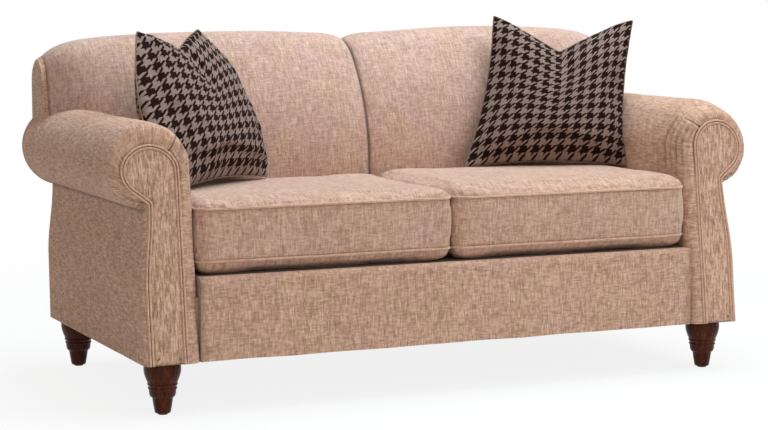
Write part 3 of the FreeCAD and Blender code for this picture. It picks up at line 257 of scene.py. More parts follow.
tweed = make_tweed("tweed", 1.9, 1.4, 0.5)
# The back and the seat cushions take cooler copies of the cloth: painted light, for the more neutral look that the
# strong top light gives them.
tweed_back = make_tweed("tweed_back", 1.3, 1.0, 0.4, cool=1.0)
tweed_seat = make_tweed("tweed_seat", 1.5, 1.1, 0.45, cool=0.4)
tweed_arm = make_tweed("tweed_arm", 1.0, 2.0, 0.45, sheen=0.15)
tweed_facing = make_tweed("tweed_facing", 3.2, 0.7, 0.5, sheen=0.2)
# The cords' cloth is a little lighter than the rest: painted highlight, for the light that the round cords catch.
tweed_welt = make_tweed("tweed_welt", 1.0, 1.0, 0.3, tint=1.15)
# The piping's cloth is made dark all round: painted shade, for the shadow where the pillows sit on the cushions.
piping = make_tweed("piping", 0.6, 0.6, 0.2, tint=0.4)
print("tweed weave has", len(weave.nodes), "steps")

# %% [markdown]
# ## Houndstooth
# The traditional check comes from four dark and four light yarns in turn, both ways, in a two-up two-down
# twill. Where dark crosses dark the cloth is dark, where light crosses light it is light, and in the mixed
# squares the twill draws slanting stripes: together they make the teeth.

# %% Houndstooth cloth
houndstooth, tree, shader = new_material("houndstooth", Sheen_Weight=0.02, Sheen_Roughness=0.4,
                                         Specular_IOR_Level=0.02)
CHECK, DARK_SHARE = 0.0345, 0.54
across, up = step(tree, "SeparateXYZ", step(tree, "UVMap", uv_map="cloth").outputs[0]).outputs[:2]
column, row = (sums(tree, "FRACT", sums(tree, "DIVIDE", way, CHECK)) for way in (across, up))
warp_dark, weft_dark = (sums(tree, "LESS_THAN", place, DARK_SHARE) for place in (column, row))
slant = sums(tree, "MULTIPLY", sums(tree, "SUBTRACT", column, row), 2.0)
twill = sums(tree, "LESS_THAN", sums(tree, "FRACT", slant), 0.5)
dark = sums(tree, "ADD", sums(tree, "MULTIPLY", warp_dark, twill),
            sums(tree, "MULTIPLY", weft_dark, sums(tree, "SUBTRACT", 1.0, twill)))
thread_one = thread_set(tree, across, up, 0.0022, 50.0, 5.0)
thread_two = thread_set(tree, up, across, 0.0022, 50.0, 8.0)
grey = blended(tree, thread_one["Shade"], (0.14, 0.097, 0.083, 1), (0.42, 0.30, 0.258, 1))
brown = blended(tree, thread_two["Shade"], (0.009, 0.0035, 0.0025, 1), (0.028, 0.011, 0.008, 1))
ribs = sums(tree, "ADD", thread_one["Round"], thread_two["Round"])
cover(tree, shader, blended(tree, dark, grey, brown), stretched(tree, ribs, 0, 2, 0.95, 0.8), ribs, 0.5)
print("houndstooth has", len(tree.nodes), "steps")

# %% [markdown]
# ## Turned wood and hidden finishes
# The feet are stained dark and lacquered: the grain runs up the foot and the lacquer gives a soft
# highlight. The frame, springs and padding inside the sofa don't show, but each gets its own plain finish.

# %% Wood and the finishes inside
grain_lines, given, out = new_group(
    "wood_grain", {"Place": "Vector"}, {"Grain": "Float", "Pores": "Float"})
long_way = step(grain_lines, "VectorMath", given["Place"], (1.0, 1.0, 0.12), operation="MULTIPLY").outputs[0]
grain_lines.links.new(clouds(grain_lines, long_way, 90.0, 5.0, 0.65), out["Grain"])
grain_lines.links.new(stretched(grain_lines, clouds(grain_lines, long_way, 420.0, 2.0), 0.35, 0.6), out["Pores"])


def make_wood(title, pale, deep, gloss, coat):
    """Wood with its grain along Z, from raw beech to stained and lacquered walnut."""
    material, tree, shader = new_material(title, Coat_Weight=coat, Coat_Roughness=0.12, Specular_IOR_Level=0.1)
    grain = place_group(tree, grain_lines, Place=step(tree, "TexCoord").outputs["Object"])
    stain = blended(tree, stretched(tree, grain["Grain"], 0.35, 0.65), deep, pale)
    stain = blended(tree, sums(tree, "MULTIPLY", sums(tree, "SUBTRACT", 1.0, grain["Pores"]), 0.6), stain, deep)
    cover(tree, shader, stain, stretched(tree, grain["Grain"], 0.3, 0.7, gloss, gloss + 0.14), grain["Pores"],
          0.15, 0.0005)
    return material


walnut = make_wood("walnut", (0.15, 0.030, 0.008, 1), (0.03, 0.006, 0.002, 1), 0.28, 0.04)
beech = make_wood("beech", (0.58, 0.4, 0.23, 1), (0.42, 0.27, 0.14, 1), 0.6, 0.0)


def make_plain(title, pale, deep, scale, roughness, metallic=0.0):
    """A hidden finish: a mottled colour with a little relief."""
    material, tree, shader = new_material(title, Metallic=metallic)
    mottle = clouds(tree, step(tree, "TexCoord").outputs["Object"], scale, 3.0)
    cover(tree, shader, blended(tree, mottle, (*deep, 1), (*pale, 1)),
          stretched(tree, mottle, 0.3, 0.7, roughness, roughness + 0.1), mottle, 0.2, 0.0005)
    return material


# pale colour, deep colour, size of the mottle, roughness, metal
PLAIN = {
    "spring_steel": ((0.2, 0.2, 0.21), (0.1, 0.1, 0.11), 60, 0.35, 1.0),
    "plate_steel": ((0.55, 0.55, 0.56), (0.4, 0.4, 0.42), 80, 0.3, 1.0),
    "webbing": ((0.03, 0.028, 0.025), (0.012, 0.01, 0.01), 500, 0.85),
    "deck_cloth": ((0.2, 0.16, 0.12), (0.13, 0.1, 0.07), 700, 0.9),
    "dust_cloth": ((0.02, 0.02, 0.02), (0.006, 0.006, 0.006), 800, 0.9),
    "arm_padding": ((0.8, 0.78, 0.72), (0.6, 0.58, 0.52), 120, 0.95),
    "cushion_foam": ((0.8, 0.7, 0.4), (0.6, 0.5, 0.28), 900, 0.9),
    "pillow_fill": ((0.85, 0.84, 0.8), (0.7, 0.68, 0.62), 150, 0.95),
    "glide_plastic": ((0.02, 0.018, 0.016), (0.008, 0.007, 0.006), 300, 0.5),
}
finishes = {name: make_plain(name, *look) for name, look in PLAIN.items()}
finishes.update(frame_wood=beech, foot_wood=walnut, tweed=tweed, welt_cord=tweed_welt, houndstooth=houndstooth)
for part in frame["record"]["subparts"]:
    shown = frame["nodes"][part["node"]]
    shown.data.materials.clear()
    shown.data.materials.append(finishes[part["material_slot"]])
print("finishes", sorted(finishes))

# %% [markdown]
# ## Drawing a skin
# Upholstery is cloth stretched between outlines: an arm is one outline carried from front to back, a back
# panel one outline carried from side to side. So most pieces start as a ring, drawn out to an outline, which
# is extruded again and again, each new ring put in its place. That keeps one clean grid of faces, which
# bends, puckers and takes its cloth evenly.


# %% Skins drawn through rings
def edit_all():
    """Goes into edit mode with the whole piece selected."""
    bpy.ops.object.mode_set(mode="EDIT")
    bpy.ops.mesh.select_all(action="SELECT")


def close_edit():
    """Turns every face outwards and goes back to object mode."""
    bpy.ops.mesh.select_all(action="SELECT")
    bpy.ops.mesh.normals_make_consistent(inside=False)
    bpy.ops.object.mode_set(mode="OBJECT")


def named(piece, name):
    """Gives the piece and its mesh one name."""
    piece.name = piece.data.name = name
    return piece


def join_pieces(name, *pieces):
    """Makes one piece of several."""
    pick(*pieces)
    bpy.ops.object.join()
    return named(bpy.context.object, name)


def reshape(piece, kind, **settings):
    """Applies one modifier to a piece."""
    pick(piece)
    modifier = piece.modifiers.new(kind, kind)
    for option, value in settings.items():
        setattr(modifier, option, value)
    bpy.ops.object.modifier_apply(modifier=kind)


def raise_points(piece, how):
    """Moves each point up or down by what how gives for its place."""
    for vertex in piece.data.vertices:
        vertex.co.z += how(vertex.co)


def skin(name, rings, closed=True, caps=(False, False)):
    """A skin through rings of points, each extruded from the one before."""
    pick()
    count = len(rings[0])
    bpy.ops.mesh.primitive_circle_add(vertices=count, radius=0.1)
    piece = named(bpy.context.object, name)
    edit_all()
    mesh = bmesh.from_edit_mesh(piece.data)
    order, ring_number = (mesh.verts.layers.int.new(title) for title in ("order", "ring"))
    mesh.verts.ensure_lookup_table()
    for number, vertex in enumerate(mesh.verts):
        vertex[order], vertex[ring_number] = number, 0
        vertex.co = rings[0][number]
    if not closed:
        last = [edge for edge in mesh.edges if {v[order] for v in edge.verts} == {0, count - 1}]
        bmesh.ops.delete(mesh, geom=last, context="EDGES_FACES")
    if caps[0]:
        bpy.ops.mesh.edge_face_add()
        bpy.ops.mesh.select_all(action="DESELECT")
        mesh = bmesh.from_edit_mesh(piece.data)
        for edge in mesh.edges:
            edge.select_set(True)
    bmesh.update_edit_mesh(piece.data)
    bpy.context.tool_settings.mesh_select_mode = (False, True, False)
    for number, ring in enumerate(rings[1:], 1):
        bpy.ops.mesh.extrude_edges_move()
        mesh = bmesh.from_edit_mesh(piece.data)
        order, ring_number = (mesh.verts.layers.int[title] for title in ("order", "ring"))
        for vertex in mesh.verts:
            if vertex.select:
                vertex.co, vertex[ring_number] = ring[vertex[order]], number
    if caps[1]:
        bpy.ops.mesh.edge_face_add()
    close_edit()
    piece.location = (0, 0, 0)
    return piece


def resample(points, count):
    """Points spaced evenly along a line drawn through points."""
    lengths = [0.0]
    for start, end in zip(points, points[1:]):
        lengths.append(lengths[-1] + math.dist(start, end))
    spaced, at = [], 0
    for number in range(count):
        goal = lengths[-1] * number / (count - 1)
        while at < len(lengths) - 2 and lengths[at + 1] < goal:
            at += 1
        share = (goal - lengths[at]) / max(lengths[at + 1] - lengths[at], 1e-9)
        spaced.append(tuple(a + (b - a) * share for a, b in zip(points[at], points[at + 1])))
    return spaced


def smooth_step(share):
    """0 to 1 with a soft start and end."""
    share = min(max(share, 0.0), 1.0)
    return share * share * (3 - 2 * share)


def fade_out(share):
    """1 to 0 with a soft start and end."""
    return 1 - smooth_step(share)


def cloth_map(piece):
    """The piece's own cloth map, made where it has none."""
    return piece.data.uv_layers.get("cloth") or piece.data.uv_layers.new(name="cloth")


def lay_cloth(piece, shift=0.0, looks=None):
    """Lays the cloth square on from the side that each face looks to, or that looks says, in metres."""
    layer = cloth_map(piece)
    for face in piece.data.polygons:
        x, y, z = (abs(part) for part in face.normal)
        side = "front" if y >= x and y >= z else "end" if x >= z else "top"
        if looks:
            side = looks(face) or side
        for corner in face.loop_indices:
            place = piece.data.vertices[piece.data.loops[corner].vertex_index].co
            flat = {"front": (place.x, place.z), "end": (place.y + 3, place.z), "top": (place.x, place.y + 5)}[side]
            layer.data[corner].uv = (flat[0] + shift, flat[1] + shift)


def unroll_cloth(piece, rings, shift=0.0):
    """Lays the cloth along a skin's own grid: its length one way, the way round its outline the other."""
    along, around = [0.0], [0.0]
    for before, after in zip(rings, rings[1:]):
        along.append(along[-1] + sum((b - a).length for a, b in zip(before, after)) / len(before))
    middle = rings[len(rings) // 2]
    for before, after in zip(middle, middle[1:]):
        around.append(around[-1] + (after - before).length)
    layer = cloth_map(piece)
    ring, order = (piece.data.attributes[title].data for title in ("ring", "order"))
    for loop in piece.data.loops:
        layer.data[loop.index].uv = (along[ring[loop.vertex_index].value] + shift,
                                     around[order[loop.vertex_index].value] + shift)


def shade_creases(piece, how, folds=None):
    """Writes how deep each point lies in a seam or fold, from 0 to 1, as painted shade that darkens the cloth's
    colour there.
    """
    layer = piece.data.attributes.get("painted_crease_shade") or piece.data.attributes.new("painted_crease_shade", "FLOAT", "POINT")
    for vertex in piece.data.vertices:
        layer.data[vertex.index].value = max(how(vertex.co), folds[vertex.index] if folds else 0.0)


def near_line(place, line, width):
    """1 on a line of (x, z) points seen from the front, fading to 0 at a width."""
    away = min(math.hypot(abs(place.x) - x, place.z - z) for x, z in line)
    return fade_out(away / width)


def ruffle(piece, depth, size, seed, keep=None):
    """Moves each point a little in or out, as stuffing does under cloth; keep gives how much of it, by place."""
    normals = [vertex.normal.copy() for vertex in piece.data.vertices]
    for vertex, normal in zip(piece.data.vertices, normals):
        place = vertex.co / size + Vector((seed, seed * 0.7, -seed))
        amount = depth * noise.noise(place) * (keep(vertex.co) if keep else 1.0)
        vertex.co += normal * amount


def other_side(piece, name, seed=0.0):
    """A mirrored copy for the sofa's other side, with its own mesh and its cloth laid afresh."""
    pick(piece)
    bpy.ops.object.duplicate()
    twin = named(bpy.context.object, name)
    edit_all()
    bpy.ops.transform.resize(value=(-1, 1, 1), center_override=(0, 0, 0))
    close_edit()
    for corner in cloth_map(twin).data:
        corner.uv = (corner.uv.x + 0.37 + seed, corner.uv.y + 0.21)
    return twin


def dress(piece, material, body="sofa", replaces=(), angle=60):
    """Smooths a piece, gives it its finish, and says what it rides on and stands for."""
    pick(piece)
    bpy.ops.object.shade_smooth_by_angle(angle=math.radians(angle))
    piece.data.materials.clear()
    piece.data.materials.append(material)
    if replaces:
        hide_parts(*replaces)
    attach(piece, body)
    return piece


FLOOR_LINE = 0.123


def face_y(z, behind=0.0):
    """The arms' leaning front, or a plane that lies behind it."""
    return -0.4075 + (z - FLOOR_LINE) * 58 / 450 + behind


def rear_y(z):
    """The leaning rear."""
    return 0.3765 + (z - FLOOR_LINE) * 32 / 637


# %% [markdown]
# ## Arms
# Each arm is a nearly straight side under a roll. The outline from the front runs up the inside, round the
# roll, into the neck and down the flared outside. The inner line, where the facing's welt will lie, has as
# many points, so the soft front edge can be carried from one to the other. Where the cloth is drawn into the
# welt it puckers: folds hang from a gather inside the scroll, and creases fan out from the neck.

# %% Outlines of the arm and of its facing
INSIDE, ROLL, SCROLL_STEPS = 0.648, 0.097, 150
ROLL_MIDDLE, SCROLL_MIDDLE, SCROLL = (0.745, 0.562), (0.749, 0.562), 0.063
UP_INSIDE, SOFT_EDGE = 39, 0.026
SEAM_SHADE = 0.0085
FLARE_END = 0.290


def flare_line(high, low, count):
    """An S-bend from a high point down to a low one."""
    return [(high[0] + (low[0] - high[0]) * smooth_step(n / count), high[1] + (low[1] - high[1]) * n / count)
            for n in range(1, count + 1)]


def arc_points(middle, radius, start, end, count):
    """Points on an arc between two angles in degrees."""
    turns = [math.radians(start + (end - start) * n / count) for n in range(count + 1)]
    return [(middle[0] + radius * math.cos(t), middle[1] + radius * math.sin(t)) for t in turns]


roll_round = arc_points(ROLL_MIDDLE, ROLL, 180, -77.5, 120)
scroll_round = arc_points(SCROLL_MIDDLE, SCROLL, 180, -50, 90)
scroll_round += resample([scroll_round[-1], (0.7565, 0.4872)], 14)[1:] + [(0.7532, 0.4838), (0.7520, 0.4800)]


def whole_line(inside, curl, outside):
    """Up the inside of an arm, round a curl, and down its flared outside to the floor line."""
    line = resample([(inside, FLOOR_LINE), (inside, ROLL_MIDDLE[1])], UP_INSIDE + 1)[:-1]
    line += resample(curl, SCROLL_STEPS) + flare_line(curl[-1], (outside, FLARE_END), 18)
    return line + [(outside, FLARE_END + (FLOOR_LINE - FLARE_END) * n / 12) for n in range(1, 13)]


arm_line = whole_line(INSIDE, roll_round, 0.782)
facing_line = whole_line(0.686, scroll_round, 0.767)
print("outline points", len(arm_line), len(facing_line))


# %% Rings of the arm
def arm_rings():
    """Rings from under the welt, out over the soft front edge, and back along the arm to its rear."""
    rings = []
    for flat, turn in [(n / 4, 0) for n in range(4)] + [(1, n * 15) for n in range(7)]:
        ring = []
        for (x, z), (inner_x, inner_z) in zip(arm_line, facing_line):
            width = math.dist((x, z), (inner_x, inner_z))
            edge = min(SOFT_EDGE, 0.85 * width)
            drawn = (width - flat * (width - edge) - edge * math.sin(math.radians(turn))) / width
            behind = edge * (1 - math.cos(math.radians(turn)))
            ring.append(Vector((x + (inner_x - x) * drawn, face_y(z, behind), z + (inner_z - z) * drawn)))
        rings.append(ring)
    front_behind = [min(SOFT_EDGE, 0.85 * math.dist(a, b)) for a, b in zip(arm_line, facing_line)]
    stations = [0.0045 * n for n in range(1, 19)] + [0.081 + 0.012 * n for n in range(1, 10)]
    stations += [0.189 + 0.595 * n / 12 for n in range(1, 13)]
    for along in stations:
        share = along / stations[-1]
        ring = []
        for (x, z), behind in zip(arm_line, front_behind):
            near = face_y(z, behind)
            ring.append(Vector((x, near + (rear_y(z) - 0.004 - near) * share, z)))
        rings.append(ring)
    return rings


front_rings = arm_rings()
arm_right = skin("arm_right", front_rings, closed=False)
around_arm = [0.0]
for before, after in zip(arm_line, arm_line[1:]):
    around_arm.append(around_arm[-1] + math.dist(before, after))
AT_GATHER = UP_INSIDE + round(SCROLL_STEPS * 44 / 257.5)
CREASE_PITCH = 21.0  # degrees
GATHER, NECK_SEAM = around_arm[AT_GATHER], around_arm[UP_INSIDE + SCROLL_STEPS - 1]
ring_run = [0.0]
for before, after in zip(front_rings, front_rings[1:]):
    ring_run.append(ring_run[-1] + (after[30] - before[30]).length)


def fan(back, across):
    """Sharp creases that spread from one point, as a wave of the angle round it: from -1 to 0."""
    turn = math.degrees(math.atan2(back, across))
    wobble = 1.2 * noise.noise(Vector((turn * 0.06, 8.0, math.hypot(back, across) * 6)))
    return -(0.5 - 0.5 * math.cos(turn * math.tau / CREASE_PITCH + wobble)) ** 3


def hanging_folds(run, down):
    """Folds that start close together at the gather and hang down the border and the inside of the arm."""
    laid = run / (0.7 + 0.3 * smooth_step(down / 0.08))
    folds = min(laid, 0.05) / 0.0165 + max(laid - 0.05, 0) / 0.028
    folds += 0.25 * noise.noise(Vector((laid * 18, down * 5, 3.0)))
    wave = 0.5 - 0.5 * math.cos(math.tau * folds)
    strength = 0.75 + 0.4 * noise.noise(Vector((laid * 30, down * 7, 9.0)))
    strength *= smooth_step(down / 0.02) * smooth_step(run / 0.006)
    return -strength * wave ** 1.6 * fade_out((down - 0.08) / 0.13) * fade_out((laid - 0.10) / 0.10)


def pucker(piece):
    """Folds that hang from the gather inside the scroll, a fan at the neck, and faint creases between; it returns
    painted shade for the bottoms of the folds.
    """
    order, ring = (piece.data.attributes[title].data for title in ("order", "ring"))
    normals = [vertex.normal.copy() for vertex in piece.data.vertices]
    # folds collects painted shade for the bottoms of the folds and creases, which shade_creases writes into the
    # cloth
    folds = [0.0] * len(normals)
    for vertex, normal in zip(piece.data.vertices, normals):
        run = ring_run[ring[vertex.index].value]
        if run == 0:
            continue
        place, back = around_arm[order[vertex.index].value], vertex.co.y - face_y(vertex.co.z) + 0.004
        down, up = GATHER - place, NECK_SEAM - place
        depth = -0.003 * math.exp(-(down / 0.0024) ** 2) * smooth_step(run / 0.005) * fade_out((run - 0.04) / 0.03)
        if down > 0:
            hang = hanging_folds(run, down)
            depth += 0.0058 * hang
            # painted shade in the bottoms of the hanging folds
            folds[vertex.index] = -0.7 * hang
        away = math.hypot(back, up)
        if up > -0.003:
            spread = fan(back, up) * smooth_step(away / 0.014) * fade_out((away - 0.03) / 0.08)
            spread *= smooth_step((up + 0.003) / 0.01)
            depth += 0.0058 * spread
            # painted shade in the bottoms of the fan's creases
            folds[vertex.index] = max(folds[vertex.index], -0.8 * spread)
        if down < 0 < up:
            faint = noise.noise(Vector((place * 150, back * 16, 1.0)))
            depth += 0.0008 * faint * smooth_step(run / 0.02) * fade_out((back - 0.03) / 0.09)
        if 0 < up < 0.035:
            depth += -0.0012 * (1 - up / 0.035)
        vertex.co += normal * depth
    return folds


def crown(piece, height):
    """Fills the top of a roll a little more than its scroll."""
    raise_points(piece, lambda p: height * smooth_step((p.z - ROLL_MIDDLE[1]) / (0.9 * ROLL)) *
                 smooth_step((p.y - face_y(p.z)) / 0.09) * fade_out((p.y - 0.22) / 0.14))


def arm_crease(place):
    """Painted shade in the welt's seam, under the roll, and along the gather down to its notch at the welt."""
    front = place.y < face_y(place.z) + 0.012
    seam = 0.95 * near_line(place, welt_line, SEAM_SHADE) if front else 0.0
    under = 0.75 * fade_out(math.dist((place.x, place.z), roll_round[-1]) / 0.009)
    fold = 0.8 * near_line(place, gather_line, 0.0038) if place.y < face_y(place.z) + 0.03 else 0.0
    notch = near_line(place, gather_line[2:4], 0.006) if front else 0.0
    return max(seam, under, fold, notch)


gather_line = resample([facing_line[AT_GATHER], arm_line[AT_GATHER]], 14)
welt_line = facing_line[::2]
ruffle(arm_right, 0.0022, 0.11, 2.0, lambda p: 1.0 if p.z > 0.2 else 0.4)
arm_fold_shade = pucker(arm_right)
unroll_cloth(arm_right, front_rings)
# Painted shade in the welt's seam, under the roll, along the gather and in the bottoms of the folds.
shade_creases(arm_right, arm_crease, arm_fold_shade)
arm_left = other_side(arm_right, "arm_left")
crown(arm_right, 0.018)
crown(arm_left, 0.003)


def flatten_scroll(piece):
    """The left arm's scroll is cut a little flatter on top than the right one's."""
    raise_points(piece, lambda p: -0.016 * fade_out((math.dist((abs(p.x), p.z), SCROLL_MIDDLE) - 0.067) / 0.03) *
                 smooth_step((p.z - 0.49) / 0.15) * fade_out((p.y - face_y(p.z) - 0.004) / 0.03))


flatten_scroll(arm_left)
for piece, side in ((arm_right, "right"), (arm_left, "left")):
    dress(piece, tweed_arm, replaces=(f"arm_cover_{side}", f"outside_arm_{side}"))
print("arm faces", len(arm_right.data.polygons))

# %% [markdown]
# ## Facings and their double welts
# The panel on the front of the arm is a flat cut-out, lightly padded, so it is a filled outline inset a few
# times and brought forward a little at each inset. Its seam is hidden under two cords side by side, covered
# in the same cloth.


# %% Facings
def facing_panel():
    """The filled outline, inset in steps and domed."""
    pick()
    bpy.ops.mesh.primitive_circle_add(vertices=len(facing_line), radius=0.1)
    piece = named(bpy.context.object, "facing_right")
    for vertex, (x, z) in zip(piece.data.vertices, facing_line):
        vertex.co = (x, face_y(z, 0.0015), z)
    edit_all()
    bpy.ops.mesh.edge_face_add()
    for width, forward in ((0.005, 0.0018), (0.006, 0.0014), (0.008, 0.0008)):
        bpy.ops.mesh.inset(thickness=width, depth=0)
        bpy.ops.transform.translate(value=(0, -forward, 0))
    bpy.ops.object.mode_set(mode="OBJECT")
    piece.location = (0, 0, 0)
    return piece


facing_right = facing_panel()
lay_cloth(facing_right, 0.11, lambda face: "front")
# Painted shade along the welt's seam, where the facing dives under the cords.
shade_creases(facing_right, lambda p: 0.95 * near_line(p, welt_line, SEAM_SHADE))
facing_left = other_side(facing_right, "facing_left", 0.2)
flatten_scroll(facing_left)


WELT_CORD, WELT_ASIDE = 0.0026, 0.0033


def cord_piece(name, points, radius, closed=False):
    """A covered cord that follows a line of points, made a mesh."""
    line = bpy.data.curves.new(name, "CURVE")
    line.dimensions = "3D"
    spline = line.splines.new("POLY")
    spline.points.add(len(points) - 1)
    for point, place in zip(spline.points, points):
        point.co = (*place, 1)
    spline.use_cyclic_u = closed
    line.bevel_depth, line.bevel_resolution, line.use_fill_caps = radius, 3, not closed
    piece = bpy.data.objects.new(name, line)
    bpy.context.collection.objects.link(piece)
    pick(piece)
    bpy.ops.object.convert(target="MESH")
    piece = bpy.context.object
    for old in list(piece.data.uv_layers):
        piece.data.uv_layers.remove(old)
    return piece


def cord_set(name, lines, radius, closed=False):
    """Cords along several lines, joined as one piece."""
    return join_pieces(name, *[cord_piece("cord", line, radius, closed) for line in lines])


def beside(line, offset):
    """A line of (x, z) points moved sideways."""
    moved = []
    for number, (x, z) in enumerate(line):
        before, after = line[max(number - 1, 0)], line[min(number + 1, len(line) - 1)]
        run = Vector((after[0] - before[0], after[1] - before[1])).normalized()
        moved.append((x - run.y * offset, z + run.x * offset))
    return moved


def double_welt(side):
    """Two cords side by side round one facing."""
    lines = [[(x * side, face_y(z, -0.0008), z) for x, z in beside(facing_line, offset)]
             for offset in (-WELT_ASIDE, WELT_ASIDE)]
    welt = cord_set("facing_welt_right" if side > 0 else "facing_welt_left", lines, WELT_CORD)
    lay_cloth(welt, 0.7)
    if side < 0:
        flatten_scroll(welt)
    return dress(welt, tweed_welt, replaces=("arm_facing_welts",))


double_welt(1)
double_welt(-1)
for piece, side in ((facing_right, "right"), (facing_left, "left")):
    dress(piece, tweed_facing, replaces=(f"arm_facing_{side}",))
print("facing faces", len(facing_right.data.polygons))

# %% [markdown]
# ## Front rail
# The rail below the cushions is one flat padded board: a block, scaled to its place, with its long top edge
# rounded over. Unlike the arms it stands upright.

# %% Front rail
RAIL_SIZE, RAIL_MIDDLE = (1.2956, 0.041, 0.191), (0, -0.377, 0.2185)
pick()
bpy.ops.mesh.primitive_cube_add(size=1, location=(0, 0, 0))
rail = named(bpy.context.object, "front_rail_skin")
edit_all()
bpy.ops.transform.resize(value=RAIL_SIZE)
bpy.ops.transform.translate(value=RAIL_MIDDLE)
bpy.context.tool_settings.mesh_select_mode = (False, True, False)
bpy.ops.mesh.select_all(action="DESELECT")
shape = bmesh.from_edit_mesh(rail.data)
for edge in shape.edges:
    low, high = (v.co for v in edge.verts)
    if abs(low.x - high.x) > 1 and min(low.z, high.z) > 0.3:
        edge.select_set(True)
bmesh.update_edit_mesh(rail.data)
bpy.ops.mesh.bevel(offset=0.013, segments=6)
cuts = [((n * 0.042, 0, 0), (1, 0, 0)) for n in range(-15, 16)]
cuts += [((0, 0, FLOOR_LINE + n * 0.02), (0, 0, 1)) for n in range(1, 9)]
for place, facing in cuts:
    bpy.ops.mesh.select_all(action="SELECT")
    bpy.ops.mesh.bisect(plane_co=place, plane_no=facing)
bpy.ops.object.mode_set(mode="OBJECT")
ruffle(rail, 0.002, 0.12, 5.0, lambda p: 1.0 if p.y < -0.39 else 0.0)
lay_cloth(rail, 0.53)
# Painted shade towards the rail's ends, where they meet the arms.
shade_creases(rail, lambda p: 0.5 * fade_out((RAIL_SIZE[0] / 2 - abs(p.x)) / 0.012))
dress(rail, tweed, replaces=("front_rail_cover",))
print("rail faces", len(rail.data.polygons))

# %% [markdown]
# ## Back
# The back is upright behind the cushions, then sweeps back and rolls over the crest. Each panel is fullest
# in its middle; at the sofa's middle the cloth is pulled into a deep seam, and at the ends the crest drops
# and curves round to the rear. One cross-section, carried from the middle outwards with those three things
# changing, gives the whole panel.

# %% The back's cross-section and its two panels
# share of the half width, how full, how far set back, how far dropped
BACK_TABLE = (
    (0.000, 0.00, 0.00, 0.00), (0.008, 0.30, 0.00, 0.00), (0.020, 0.50, 0.00, 0.00), (0.045, 0.70, 0.00, 0.00),
    (0.080, 0.83, 0.00, 0.00), (0.180, 0.97, 0.00, 0.00), (0.300, 1.00, 0.00, 0.01), (0.420, 1.00, 0.00, 0.02),
    (0.540, 1.00, 0.01, 0.04), (0.660, 1.00, 0.03, 0.06), (0.750, 0.99, 0.07, 0.09), (0.820, 0.98, 0.12, 0.13),
    (0.880, 0.97, 0.23, 0.20), (0.930, 0.95, 0.40, 0.30), (0.970, 0.92, 0.64, 0.46), (1.000, 0.90, 0.92, 0.74))
DECK_LINE = 0.314


def back_section(x, full, setback, drop, shrink=0.0):
    """The back seen from the side at one place: upright, then arching back and over the crest."""
    near = 0.112 + 0.015 * (1 - full) + 0.188 * setback + shrink
    top = 0.850 - 0.032 * (1 - full) - 0.080 * drop - shrink
    far = 0.4125 - 0.004 * (1 - full) - shrink
    tight = 0.098 + 0.007 * full
    tight += (0.045 - tight) * setback
    start = 0.500 - shrink
    width, height = far - near - 2 * tight, top - start - tight
    spread = (width * width + height * height) / (2 * width)
    turn = math.asin(height / spread)
    line = [(near, DECK_LINE + (start - DECK_LINE) * n / 5) for n in range(5)]
    line += [(near + (spread + tight) * (1 - math.cos(turn * n / 12)), start + (spread + tight) *
              math.sin(turn * n / 12)) for n in range(12)]
    line += [(far - tight - tight * math.cos(angle), top - tight + tight * math.sin(angle))
             for angle in (turn + (math.pi - turn) * n / 12 for n in range(13))]
    line += [(far, top - tight + (0.62 - top + tight) * n / 4) for n in range(1, 5)]
    return [Vector((x, y, z)) for y, z in line]


def tucked(ring):
    """Below the roll a panel ends inside the arm's wall."""
    for point in ring:
        point.x = min(point.x, 0.745 + 0.055 * smooth_step((point.z - 0.48) / 0.05))
    return ring


panel_rings = [tucked(back_section(0.0003 + 0.7997 * share, *shape)) for share, *shape in BACK_TABLE]
back_right = skin("back_right", panel_rings, closed=False)
unroll_cloth(back_right, panel_rings, 0.9)
reshape(back_right, "SUBSURF", levels=2, render_levels=2)


def seam_pulls(piece):
    """Small creases that run out of the middle seam, where the cloth is drawn in."""
    for vertex in piece.data.vertices:
        x, y, z = vertex.co
        fade = smooth_step(x / 0.008) * fade_out(x / 0.075)
        wave = noise.noise(Vector((x * 14, 0.3, (z + y) * 62)))
        vertex.co += vertex.normal * (0.0016 * fade * wave)


seam_pulls(back_right)
ruffle(back_right, 0.0030, 0.16, 8.0, lambda p: smooth_step((p.x - 0.02) / 0.1))
# Painted shade in the middle seam and at the panel's end against the arm.
shade_creases(back_right, lambda p: max(0.9 * fade_out(p.x / 0.008),
                                        0.7 * smooth_step((p.x - 0.794) / 0.005)))
back_left = other_side(back_right, "back_left", 0.5)


def lift_crest(piece):
    """The right panel's crest stands a little higher towards its end than the left one's."""
    raise_points(piece, lambda p: 0.009 * smooth_step((p.x - 0.12) / 0.3) * smooth_step((p.z - 0.5) / 0.3))


lift_crest(back_right)


def end_ring(x, shrink):
    """The upper part of the back's section, which stands clear of the arm."""
    section = [tuple(point) for point in back_section(x, *BACK_TABLE[-1][1:], shrink=shrink) if point.z > 0.6]
    return [Vector(point) for point in resample(section, 48)]


end_rings = [end_ring(*pair) for pair in ((0.7995, 0.0), (0.8035, 0.0012), (0.8035, 0.0035), (0.810, 0.005),
                                          (0.813, 0.010))]
band_right = skin("back_end_right", end_rings, closed=True, caps=(False, True))
lay_cloth(band_right, 1.3)
band_left = other_side(band_right, "back_end_left", 0.3)
lift_crest(band_right)
for side, panel, band in (("right", back_right, band_right), ("left", back_left, band_left)):
    dress(panel, tweed_back, replaces=(f"inside_back_{side}",))
    dress(band, tweed_arm, replaces=(f"back_end_band_{side}",), angle=40)
print("back panel faces", len(back_right.data.polygons))

# %% [markdown]
# ## Outside back
# The rear is one flat sheet, cut to the arms' outline and to the back's ends. It is a filled outline with
# a little thickness and a rounded edge.

